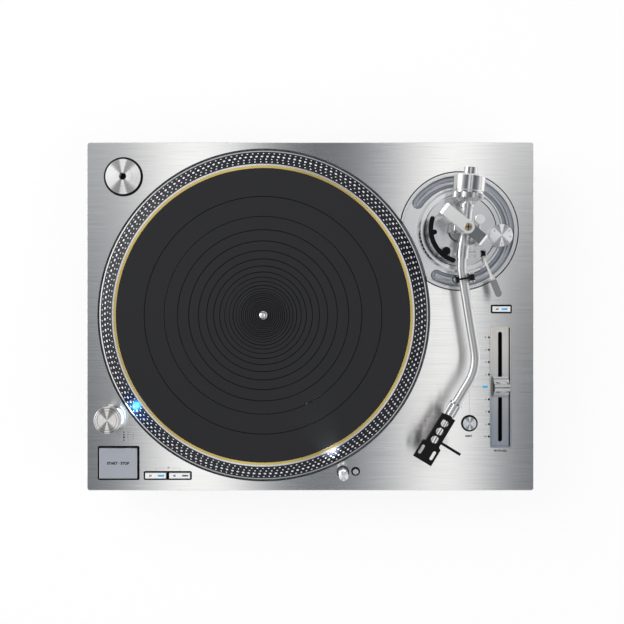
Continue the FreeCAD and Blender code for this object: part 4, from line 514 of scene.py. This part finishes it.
# painted shade: the groove across the knob's top is near black, and the knob's left side and the trough's
# wall that faces it are dark
repaint("pitch_knob", "blackAndPaintedGapShade", onKnobLine)
repaint("pitch_knob", "paintedSideShade", onKnobSide)
repaint("pitch_plate", "paintedSideShade", onTroughSide)


def islands(mesh):
    # the loose parts of a mesh, as lists of face numbers
    owner = list(range(len(mesh.vertices)))

    def root(i):
        while owner[i] != i:
            owner[i] = owner[owner[i]]
            i = owner[i]
        return i

    seen = {}
    for vertex in mesh.vertices:
        key = tuple(round(v, 7) for v in vertex.co)
        if key in seen:
            owner[root(vertex.index)] = root(seen[key])
        else:
            seen[key] = vertex.index
    for face in mesh.polygons:
        first = root(face.vertices[0])
        for other in face.vertices[1:]:
            owner[root(other)] = first
    groups = {}
    for face in mesh.polygons:
        groups.setdefault(root(face.vertices[0]), []).append(face.index)
    return list(groups.values())


# a slot for each wire from left to right, where slot 0 is the wires' own finish
leadWires = {"extras": ("wireRed", "wireBlue", "wireGreen"), "order": (1, 0, 3, 2)}


def paintWires(values):
    mesh = nodes["lead_wires"].data
    for name in values["extras"]:
        mesh.materials.append(extras[name])
    groups = islands(mesh)
    groups.sort(key=lambda faces: sum(mesh.polygons[f].center.x for f in faces) / len(faces))
    for place, faces in enumerate(groups):
        for face in faces:
            mesh.polygons[face].material_index = values["order"][place % len(values["order"])]


paintWires(leadWires)

# building helpers


def addObject(name, data):
    made = bpy.data.objects.new(name, data)
    bpy.context.scene.collection.objects.link(made)
    return made


def newPiece(name, bm, body, material, rounded=False):
    mesh = bpy.data.meshes.new(name)
    bmesh.ops.recalc_face_normals(bm, faces=bm.faces)
    bm.to_mesh(mesh)
    bm.free()
    for face in mesh.polygons:
        face.use_smooth = rounded
    piece = addObject(name, mesh)
    mesh.materials.append(material)
    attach(piece, body)
    return piece


def closeUp(bm, under, over):
    # two loops of as many points, closed to a solid
    bm.faces.new(under[::-1])
    bm.faces.new(over)
    for a in range(len(under)):
        b = (a + 1) % len(under)
        bm.faces.new((under[a], under[b], over[b], over[a]))


def prism(bm, outline, low, high, inset=0.0):
    # outline in millimetres on the panel; the top is smaller by the inset
    cx = sum(p[0] for p in outline) / len(outline)
    cy = sum(p[1] for p in outline) / len(outline)
    reach = max(math.hypot(p[0] - cx, p[1] - cy) for p in outline)
    keep = 1 - inset / reach
    under = [bm.verts.new(spot(x, y, low)) for x, y in outline]
    over = [bm.verts.new(spot(cx + (x - cx) * keep, cy + (y - cy) * keep, high)) for x, y in outline]
    closeUp(bm, under, over)


def bar(x, y, length, width, angle=0.0):
    c, s = math.cos(math.radians(angle)), math.sin(math.radians(angle))
    corners = ((-1, -1), (1, -1), (1, 1), (-1, 1))
    return [(x + c * a * length / 2 - s * b * width / 2, y + s * a * length / 2 + c * b * width / 2)
            for a, b in corners]


def roundBar(x, y, length, width, corner=0.3, steps=4):
    radius = min(length, width) * corner
    points = []
    for side, (a, b) in enumerate(((1, 1), (-1, 1), (-1, -1), (1, -1))):
        for k in range(steps + 1):
            angle = math.pi / 2 * (side + k / steps)
            points.append((x + a * (length / 2 - radius) + radius * math.cos(angle),
                           y + b * (width / 2 - radius) + radius * math.sin(angle)))
    return points


def circle(x, y, radius, steps=20):
    return [(x + radius * math.cos(2 * math.pi * k / steps), y + radius * math.sin(2 * math.pi * k / steps))
            for k in range(steps)]


def band(bm, x, y, radius, width, low, high, steps=72):
    # a flat ring in millimetres on the panel
    loops = [[bm.verts.new(spot(px, py, z)) for px, py in circle(x, y, away, steps)]
             for away, z in ((radius, low), (radius, high), (radius - width, high), (radius - width, low))]
    for first, second in zip(loops, loops[1:] + loops[:1]):
        for k in range(steps):
            n = (k + 1) % steps
            bm.faces.new((first[k], first[n], second[n], second[k]))


capitalShare = 0.7  # height of a capital for a font size of 1


def letter(bm, words, size, place, thickness, bold=0.02):
    # adds the words to the mesh; place is a matrix in metres whose z points out of the surface
    curve = bpy.data.curves.new("words", "FONT")
    curve.body = words
    curve.size = size / 1000 / capitalShare
    curve.align_x = "CENTER"
    curve.align_y = "CENTER"
    curve.extrude = thickness / 2000
    curve.offset = bold * curve.size
    curve.resolution_u = 3
    holder = addObject("words", curve)
    bpy.context.view_layer.update()
    mesh = bpy.data.meshes.new_from_object(holder.evaluated_get(bpy.context.evaluated_depsgraph_get()))
    mesh.transform(place)
    bm.from_mesh(mesh)
    bpy.data.meshes.remove(mesh)
    bpy.data.objects.remove(holder)
    bpy.data.curves.remove(curve)


def flatPlace(x, y, z, angle=0.0):
    return Matrix.Translation(spot(x, y, z)) @ Matrix.Rotation(math.radians(angle), 4, "Z")


# rim dots

rimDots = {
    # dots in the row, radius and height on the bevel, half width across and along the rim, phase
    "rows": ((188, 162.75, 4.33, 0.74, 0.88, 0.031), (182, 159.45, 7.07, 1.2, 1.4, 0.77),
             (176, 156.2, 9.83, 0.74, 0.88, 0.508), (171, 153.3, 12.23, 0.74, 0.88, 0.205)),
    "rise": 0.45,
    "slope": 40.0,
    # share of the width and of the rise at each ring of a dot, and points on a ring
    "dome": ((1.0, 0.0), (0.82, 0.55), (0.45, 0.9)),
    "sides": 10,
    "sunk": 0.05,
    "look": {"tint": (0.88, 0.88, 0.89), "metal": 0.1, "rough": 0.35, "pitch": 4000.0},
}


def buildRimDots(values):
    bm = bmesh.new()
    slope = math.radians(values["slope"])
    steps = values["sides"]
    for count, radius, height, across, along, phase in values["rows"]:
        for k in range(count):
            angle = 2 * math.pi * (k + phase) / count
            outward = Vector((math.cos(angle), math.sin(angle), 0))
            tangent = Vector((-math.sin(angle), math.cos(angle), 0))
            uphill = Vector((0, 0, 1)) * math.sin(slope) - outward * math.cos(slope)
            normal = outward * math.sin(slope) + Vector((0, 0, 1)) * math.cos(slope)
            foot = Vector((platterMiddle.x, platterMiddle.y, panelTop + height / 1000))
            foot += outward * radius / 1000 - normal * (values["sunk"] / 1000)
            circles = []
            for share, rise in values["dome"]:
                circles.append([bm.verts.new(
                    foot + tangent * (math.cos(2 * math.pi * j / steps) * along * share / 1000)
                    + uphill * (math.sin(2 * math.pi * j / steps) * across * share / 1000)
                    + normal * (values["rise"] * rise / 1000)) for j in range(steps)])
            top = bm.verts.new(foot + normal * (values["rise"] / 1000))
            for low, high in zip(circles, circles[1:]):
                for j in range(steps):
                    n = (j + 1) % steps
                    bm.faces.new((low[j], low[n], high[n], high[j]))
            for j in range(steps):
                bm.faces.new((circles[-1][j], circles[-1][(j + 1) % steps], top))
            bm.faces.new(circles[0][::-1])
    return newPiece("rim_dots", bm, "turning_platter", finish("dotMetal", values["look"]),
                    rounded=True)


buildRimDots(rimDots)
print("rim dots built")

# panel printing

ink = {
    "look": {"tint": (0.004, 0.004, 0.0045), "rough": 0.5, "shine": 0.2, "pitch": 3000.0},
    "faint": {"tint": (0.1, 0.1, 0.105), "shine": 0.2, "rough": 0.5, "pitch": 3000.0},
    "thickness": 0.04,
    "seat": 0.01,
    "bold": 0.045,
    "line": 0.16,
    "thinLine": 0.14,
    # the pitch scale
    "scaleX": 180.7,
    "scaleStep": 12.55,
    "scaleMiddle": -71.35,
    "dotRadius": 1.05,
    "textHeight": 1.7,
    "numberAside": 3.1,
    "signAside": 0.6,
    "halfTick": (0.1, 1.2),
    "rail": (0.85, 2.05, 3.7),
    # the line from the reset button to the scale, and the words under both
    "leaderStart": 8.6,
    "leaderEnd": 172.6,
    "wordHeight": 1.8,
    "resetWords": (-0.6, -13.0),
    "pitchWords": (192.4, -136.0),
    # the bracket over the two speed keys
    "bracket": ((-156.4, -146.6), (-141.2, -131.8)),
    "bracketTop": -153.5,
    "bracketLeg": 2.4,
    "bracketNumber": (-143.9, -153.4),
    # the key to the rim's dots, beside the strobe pillar: y, dot radius and number of each row
    "rowKey": ((-117.0, 0.6, "+6"), (-119.6, 0.75, "+3"), (-122.3, 1.0, "0"), (-125.2, 0.7, "-3")),
    "rowKeyX": (-188.8, -184.9, -181.8, -179.4),
    "rowKeyText": 1.3,
    "rowKeyTick": 1.4,
    "rowKeySide": (-121.2, 8.2),
}
inkDark = finish("inkDark", ink["look"])
inkFaint = finish("inkFaint", ink["faint"])


def buildPanelPrinting(values):
    dark, faint = bmesh.new(), bmesh.new()
    line, thinLine = values["line"], values["thinLine"]

    def flat(bm, outline):
        prism(bm, outline, -values["seat"], values["thickness"])

    def words(bm, text, size, x, y, *bold):
        letter(bm, text, size, flatPlace(x, y, values["seat"]), values["thickness"], *bold)

    x, middleY, step = values["scaleX"], values["scaleMiddle"], values["scaleStep"]
    for k in range(-4, 5):
        y = middleY + k * step
        if k:
            flat(dark, circle(x, y, values["dotRadius"]))
            sign = ("+" if k < 0 else "-") if abs(k) == 4 else ""
            numberX = x - values["numberAside"] - (values["signAside"] if sign else 0)
            words(faint, sign + str(abs(k) * 2), values["textHeight"], numberX, y)
        if k < 4:
            aside, length = values["halfTick"]
            flat(faint, bar(x + aside, y + step / 2, length, line))
    aside, out, length = values["rail"]
    for k in (-1, 1):
        flat(faint, bar(x + aside, middleY + k * step * out, thinLine, step * length))
    reset = middle("reset_button")
    resetX, resetY = reset.x * 1000, reset.y * 1000
    start, end = values["leaderStart"], values["leaderEnd"]
    flat(faint, bar(resetX, (middleY + resetY + start) / 2, thinLine, middleY - resetY - start))
    flat(faint, bar((resetX + end) / 2, middleY, end - resetX, thinLine))
    wordsX, wordsY = values["resetWords"]
    words(dark, "RESET", values["wordHeight"], resetX + wordsX, resetY + wordsY, values["bold"])
    words(dark, "PITCH ADJ.", values["wordHeight"], *values["pitchWords"], values["bold"])
    top, leg = values["bracketTop"], values["bracketLeg"]
    for x1, x2 in values["bracket"]:
        flat(faint, bar((x1 + x2) / 2, top, x2 - x1, line))
    for x1 in (values["bracket"][0][0], values["bracket"][1][1]):
        flat(faint, bar(x1, top - leg / 2, line, leg))
    words(faint, "78", values["textHeight"], *values["bracketNumber"])
    dotX, textX, tickX, sideX = values["rowKeyX"]
    for y, radius, text in values["rowKey"]:
        flat(dark, circle(dotX, y, radius, 14))
        words(faint, text, values["rowKeyText"], textX, y)
        flat(faint, bar(tickX, y, values["rowKeyTick"], line))
    sideY, sideLength = values["rowKeySide"]
    flat(faint, bar(sideX, sideY, line, sideLength))
    newPiece("panel_printing_dark", dark, "chassis", inkDark)
    newPiece("panel_printing_fine", faint, "chassis", inkFaint)


buildPanelPrinting(ink)

keyMarks = {
    "thickness": 0.04,
    "seat": 0.01,
    "bold": 0.045,
    # piece, the key it is printed on, words, their height, distance to the right of the key's middle
    "words": (("start_stop_words", "start_stop_button", "START · STOP", 2.55, 0.0),
              ("speed_33_number", "speed_button_33", "33", 1.9, -5.2),
              ("speed_45_number", "speed_button_45", "45", 1.9, -5.2),
              ("range_number", "range_button", "x2", 1.9, -4.4)),
    # piece, body, node it stands on, place from the node's middle, length, width, finish
    "lamps": (("speed_33_lamp", "speed_button_33", "speed_button_33", 5.6, 0.1, 6.6, 1.7, "blue"),
              ("speed_45_lamp", "speed_button_45", "speed_button_45", 5.6, 0.1, 6.3, 1.5, "unlit"),
              ("range_lamp", "range_button", "range_button", 2.9, 0.0, 6.0, 1.9, "blue"),
              ("pitch_zero_lamp", "chassis", "top_panel", 176.9, -71.3, 5.4, 2.1, "blue")),
    "lampSunk": 0.1,
    "lampProud": 0.02,
    "lampRise": 0.1,
    "lampNarrower": 0.1,
    "lampInset": 0.3,
    "blue": {"tint": (0.01, 0.08, 0.16), "rough": 0.3, "shine": 0.3, "pitch": 2500.0,
             "glow": (0.02, 0.34, 0.68), "glowLevel": 0.9},
    "unlit": {"tint": (0.02, 0.02, 0.022), "rough": 0.25, "pitch": 2500.0},
    # how far inside the power knob's edge its dark rings lie
    "knobRings": (0.9, 3.4),
    "ringWidth": 0.32,
    "ringSunk": 0.05,
    "ringProud": 0.02,
}


def buildKeyMarks(values):
    rings = bmesh.new()
    low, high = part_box("power_knob")
    centre, reach, top = (low + high) * 500, (high.x - low.x) * 500, heightOf(high)
    for inset in values["knobRings"]:
        band(rings, centre.x, centre.y, reach - inset, values["ringWidth"], top - values["ringSunk"],
             top + values["ringProud"])
    newPiece("power_knob_rings", rings, "power_knob", inkDark)
    for name, key, text, height, aside in values["words"]:
        bm = bmesh.new()
        centre = middle(key) * 1000
        letter(bm, text, height, flatPlace(centre.x + aside, centre.y, topOf(key) + values["seat"]),
               values["thickness"], values["bold"])
        newPiece(name, bm, key, inkDark)
    glows = {"blue": finish("blueBar", values["blue"]), "unlit": finish("unlitBar", values["unlit"])}
    for name, body, node, dx, dy, length, width, glow in values["lamps"]:
        bm = bmesh.new()
        centre, top = middle(node) * 1000, topOf(node)
        x, y = centre.x + dx, centre.y + dy
        start = top + values["lampProud"]
        prism(bm, roundBar(x, y, length, width), top - values["lampSunk"], start)
        less = values["lampNarrower"]
        prism(bm, roundBar(x, y, length - less, width - less), start, top + values["lampRise"],
              values["lampInset"])
        newPiece(name, bm, body, glows[glow])


buildKeyMarks(keyMarks)
print("printing built")

# tonearm scales

dialMarks = {
    "height": 1.7,
    "thickness": 0.05,
    "seat": 0.01,
    "numbers": 7,
    "first": 150,
    "step": 40,
    "numberRadius": 8.3,
    "tickRadius": 10.2,
    "tick": (1.0, 0.2),
    "tickSunk": 0.05,
    "tickProud": 0.02,
}


def buildDialMarks(values):
    # numbers round the anti-skate dial's face
    bm = bmesh.new()
    centre, top = middle("anti_skate_dial") * 1000, topOf("anti_skate_dial")
    for k in range(values["numbers"]):
        turn = values["first"] - values["step"] * k
        c, s = math.cos(math.radians(turn)), math.sin(math.radians(turn))
        away = values["tickRadius"]
        prism(bm, bar(centre.x + away * c, centre.y + away * s, *values["tick"], turn),
              top - values["tickSunk"], top + values["tickProud"])
        away = values["numberRadius"]
        letter(bm, str(k), values["height"],
               flatPlace(centre.x + away * c, centre.y + away * s, top + values["seat"], turn - 90),
               values["thickness"])
    newPiece("anti_skate_numbers", bm, "anti_skate_dial", inkDark)


buildDialMarks(dialMarks)

forceTicks = {
    # the arm's direction at rest, then measures in metres
    "axis": (-0.097583, -0.995227, 0.0),
    "count": 30,
    "longEvery": 5,
    "short": 0.0011,
    "long": 0.0016,
    "half": 0.00011,
    "proud": 0.00002,
    "thickness": 0.0001,
}


def buildForceScale(values):
    # ticks round the force dial's rim, across its width
    low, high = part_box("force_dial")
    bm = bmesh.new()
    axis = Vector(values["axis"])
    centre = middle("force_dial")
    across = axis.cross(Vector((0, 0, 1))).normalized()
    radius = (high.z - low.z) / 2 + values["proud"]
    for k in range(values["count"]):
        angle = 2 * math.pi * k / values["count"]
        out = Vector((0, 0, 1)) * math.cos(angle) + across * math.sin(angle)
        side = axis.cross(out)
        length = values["short"] if k % values["longEvery"] else values["long"]
        corners = [centre + out * radius + side * a * values["half"] + axis * b * length
                   for a, b in ((-1, -1), (1, -1), (1, 1), (-1, 1))]
        under = [bm.verts.new(c - out * values["thickness"]) for c in corners]
        closeUp(bm, under, [bm.verts.new(c) for c in corners])
    newPiece("force_dial_scale", bm, "force_dial", inkDark)


buildForceScale(forceTicks)
print("scales built")

# stage and light

paper = {
    "look": {"tint": (0.96, 0.96, 0.96), "rough": 0.7, "pitch": 40.0, "grainTint": 0.004, "shine": 0.2},
    "reach": 12.0,
    "squares": 8,
    "white": 0.85,
}


def buildFloor(values):
    bm = bmesh.new()
    reach, steps = values["reach"], values["squares"]
    grid = [[bm.verts.new((reach * (2 * i / steps - 1), reach * (2 * j / steps - 1), 0.0))
             for j in range(steps + 1)] for i in range(steps + 1)]
    for i in range(steps):
        for j in range(steps):
            bm.faces.new((grid[i][j], grid[i + 1][j], grid[i + 1][j + 1], grid[i][j + 1]))
    mesh = bpy.data.meshes.new("floor")
    bm.to_mesh(mesh)
    bm.free()
    floor = addObject("floor", mesh)
    sheet = finish("floorPaper", values["look"])
    mesh.materials.append(sheet)
    # the camera sees the paper mostly as plain white, with a little of its shadow
    tree = sheet.node_tree
    out, shader = tree.nodes["Material Output"], tree.nodes["Principled BSDF"]
    white = tree.nodes.new("ShaderNodeEmission")
    mix = tree.nodes.new("ShaderNodeMixShader")
    wire(tree, calc(tree, "MULTIPLY", tree.nodes.new("ShaderNodeLightPath").outputs["Is Camera Ray"],
                    values["white"]), mix.inputs[0])
    wire(tree, shader.outputs[0], mix.inputs[1])
    wire(tree, white.outputs[0], mix.inputs[2])
    wire(tree, mix.outputs[0], out.inputs[0])


buildFloor(paper)

studio = {
    # light from above as a function of slope u (left to right) and v (front to back);
    # a pair of slopes is where a change starts and where it is complete
    "lowest": 0.03,
    "valley": 0.12,
    "frontValley": 0.07,
    "frontChange": (0.0, -0.17),
    "sideChange": (0.1, 0.22),
    # u of the middle, width to the left, width to the right, power of the fall, level
    "bands": ((-0.112, 0.06, 0.059, 2.8, 1.13), (0.144, 0.0655, 0.039, 2.2, 1.07)),
    "bandMiddle": 0.002,
    "middleChange": (-0.05, 0.05),
    "leftEdge": (0.54, (-0.1, 0.2)),
    "rightEdge": (1.1, (0.07, 0.2)),
    "stretch": 0.5,
    "farChange": (0.27, 0.42),
    # soft boxes further out: share of the way down to the horizon, and level there
    "sides": ((0.17, 0.25), (0.26, 0.15), (0.34, 0.2), (0.5, 0.32), (0.64, 0.6), (0.78, 1.3), (0.93, 1.6),
              (1.0, 0.6)),
    "ends": ((0.17, 0.3), (0.27, 0.5), (0.33, 1.5), (0.42, 1.6), (0.5, 0.45), (0.7, 0.3), (0.84, 0.7),
             (1.0, 0.45)),
    "corners": ((0.17, 0.2), (0.3, 0.3), (0.42, 0.55), (0.55, 0.4), (0.7, 0.6), (0.85, 1.0), (1.0, 0.8)),
    "sidesFrom": (0.66, 0.86),
    "endsFrom": (0.34, 0.16),
    "lean": (-0.22, 0.15),
    "farLevel": 0.75,
    # extra light low on the left
    "leftBoost": 2.5,
    "leftWay": (0.9, 0.42),
    "leftChange": (0.78, 0.95),
    "leftDown": (0.82, 0.87),
    # what light that has bounced between pieces meets, and after how many rays
    "room": 0.8,
    "roomFrom": (2.1, 2.9),
    "cool": (0.15, (0.84, 0.91, 1.0)),
    "warm": (0.8, (1.0, 0.995, 0.98)),
}
rampTop = 3.0  # a colour ramp holds no more than 1, so the levels are divided by this


def profile(tree, value, stops):
    step = tree.nodes.new("ShaderNodeValToRGB")
    step.color_ramp.interpolation = "EASE"
    bits = step.color_ramp.elements
    while len(bits) < len(stops):
        bits.new(0.5)
    for bit, (position, level) in zip(bits, stops):
        bit.position = position
        bit.color = (level / rampTop, level / rampTop, level / rampTop, 1)
    wire(tree, value, step.inputs[0])
    return calc(tree, "MULTIPLY", step.outputs[0], rampTop)


def buildStudio(values):
    world = bpy.data.worlds.new("studio")
    bpy.context.scene.world = world
    world.use_nodes = True
    tree = world.node_tree
    tree.nodes.clear()

    def times(first, second):
        return calc(tree, "MULTIPLY", first, second)

    def plus(first, second):
        return calc(tree, "ADD", first, second)

    def rest(value):
        return calc(tree, "SUBTRACT", 1.0, value)

    def size(value):
        return calc(tree, "ABSOLUTE", value)

    def reachOf(first, second):
        return calc(tree, "SQRT", plus(times(first, first), times(second, second)))

    def change(value, limits):
        return smooth(tree, value, *limits)

    way = tree.nodes.new("ShaderNodeSeparateXYZ")
    wire(tree, tree.nodes.new("ShaderNodeTexCoord").outputs["Generated"], way.inputs[0])
    wayX, wayY, wayZ = way.outputs
    up = calc(tree, "MAXIMUM", wayZ, values["lowest"])
    u = calc(tree, "DIVIDE", wayX, up)
    v = calc(tree, "DIVIDE", wayY, up)
    # straight above: a dark valley with a bright band on each side, and brighter edges
    side = change(size(u), values["sideChange"])
    front = times(change(v, values["frontChange"]), rest(side))
    level = plus(times(front, values["frontValley"]), values["valley"])
    for centre, leftWidth, rightWidth, power, height in values["bands"]:
        past = change(u, (centre - values["bandMiddle"], centre + values["bandMiddle"]))
        width = plus(times(past, rightWidth - leftWidth), leftWidth)
        away = size(calc(tree, "DIVIDE", calc(tree, "SUBTRACT", u, centre), width))
        bell = calc(tree, "EXPONENT", times(calc(tree, "POWER", away, power), -1.0))
        level = plus(times(bell, height), level)
    toRight = change(u, values["middleChange"])
    leftLevel, leftLimits = values["leftEdge"]
    rightLevel, rightLimits = values["rightEdge"]
    right = times(times(change(v, rightLimits), toRight), rightLevel)
    left = times(times(change(v, leftLimits), rest(toRight)), leftLevel)
    level = plus(level, times(side, plus(left, right)))
    # further out: the soft boxes at the sides, at the ends and in the corners
    near = reachOf(u, times(v, values["stretch"]))
    reach = reachOf(u, v)
    down = times(calc(tree, "ARCTANGENT", reach), 2 / math.pi)
    toSide = size(calc(tree, "DIVIDE", u, plus(reach, 0.001)))
    sides = times(profile(tree, down, values["sides"]), change(toSide, values["sidesFrom"]))
    ends = times(profile(tree, down, values["ends"]), change(toSide, values["endsFrom"]))
    between = times(change(toSide, values["endsFrom"][::-1]), change(toSide, values["sidesFrom"][::-1]))
    around = plus(plus(sides, ends), times(profile(tree, down, values["corners"]), between))
    leanX, leanY = values["lean"]
    lean = plus(times(wayX, leanX), times(wayY, leanY))
    around = times(around, plus(times(lean, values["farLevel"]), values["farLevel"]))
    leftX, leftY = values["leftWay"]
    toLeft = calc(tree, "SUBTRACT", times(wayY, leftY), times(wayX, leftX))
    low = times(change(toLeft, values["leftChange"]), change(down, values["leftDown"]))
    around = times(around, plus(times(low, values["leftBoost"]), 1.0))
    far = change(near, values["farChange"])
    level = plus(times(level, rest(far)), times(around, far))
    again = change(tree.nodes.new("ShaderNodeLightPath").outputs["Ray Depth"], values["roomFrom"])
    level = plus(times(level, rest(again)), times(again, values["room"]))
    tint = tree.nodes.new("ShaderNodeValToRGB")
    for bit, (position, colour) in zip(tint.color_ramp.elements, (values["cool"], values["warm"])):
        bit.position = position
        bit.color = (*colour, 1)
    wire(tree, level, tint.inputs[0])
    light = tree.nodes.new("ShaderNodeBackground")
    wire(tree, tint.outputs[0], light.inputs[0])
    wire(tree, level, light.inputs[1])
    # the camera itself sees plain white behind the floor
    white = tree.nodes.new("ShaderNodeBackground")
    white.inputs[0].default_value = (1, 1, 1, 1)
    mix = tree.nodes.new("ShaderNodeMixShader")
    wire(tree, tree.nodes.new("ShaderNodeLightPath").outputs["Is Camera Ray"], mix.inputs[0])
    wire(tree, light.outputs[0], mix.inputs[1])
    wire(tree, white.outputs[0], mix.inputs[2])
    out = tree.nodes.new("ShaderNodeOutputWorld")
    wire(tree, mix.outputs[0], out.inputs[0])


buildStudio(studio)

lamps = {
    # wide soft lamps, which the metal doesn't mirror: place, size, power
    "soft": {"left": ((-0.9, 0.5, 1.6), 1.2, 17.0), "right": ((1.0, -0.5, 1.7), 1.4, 12.0)},
    "strobe": {"away": 13.2, "angle": 21.0, "height": 9.0, "power": 0.17, "tint": (0.03, 0.3, 1.0),
               "lift": 0.1, "cone": 150.0, "gloss": 0.0, "soft": 0.005},
    "target": {"away": 6.0, "height": 19.0, "power": 0.4, "tint": (0.9, 0.96, 1.0), "lift": -0.25,
               "cone": 60.0, "gloss": 0.03, "soft": 0.003},
}


def aim(holder, target):
    holder.rotation_euler = (target - holder.location).to_track_quat("-Z", "Y").to_euler()


def newLamp(name, kind, place, power, tint=(1.0, 1.0, 1.0)):
    data = bpy.data.lights.new(name, kind)
    data.energy = power
    data.color = tint
    holder = addObject(name, data)
    holder.location = place
    return holder


def spotLamp(name, foot, toward, values):
    place = foot + Vector((toward.x, toward.y, 0)) * values["away"] / 1000
    place.z = panelTop + values["height"] / 1000
    holder = newLamp(name, "SPOT", place, values["power"], values["tint"])
    holder.data.spot_size = math.radians(values["cone"])
    holder.data.spot_blend = 1.0
    holder.data.shadow_soft_size = values["soft"]
    holder.data.specular_factor = values["gloss"]
    aim(holder, place + Vector((toward.x, toward.y, values["lift"])))


def buildLamps(values):
    for name, (place, size, power) in values["soft"].items():
        holder = newLamp("soft_" + name, "AREA", place, power)
        holder.data.shape = "SQUARE"
        holder.data.size = size
        holder.visible_glossy = False
        aim(holder, Vector((0, 0, panelTop)))
    angle = math.radians(values["strobe"]["angle"])
    toward = Vector((math.cos(angle), math.sin(angle)))
    spotLamp("strobe_light", middle("strobe_housing"), toward, values["strobe"])
    spotLamp("target_light", lampMiddle, towardPlatter, values["target"])


buildLamps(lamps)

view = {"place": (0.0, 0.01969, 1.108), "lens": 56.99, "sensor": 36.0, "shift": (0.00256, -0.02404),
        "nearest": 0.01}


def buildCamera(values):
    data = bpy.data.cameras.new("view")
    data.lens = values["lens"]
    data.sensor_width = values["sensor"]
    data.shift_x, data.shift_y = values["shift"]
    data.clip_start = values["nearest"]
    holder = addObject("view", data)
    holder.location = values["place"]
    bpy.context.scene.camera = holder


buildCamera(view)
bpy.context.scene.view_settings.view_transform = "Standard"
print("stage, light and camera set")
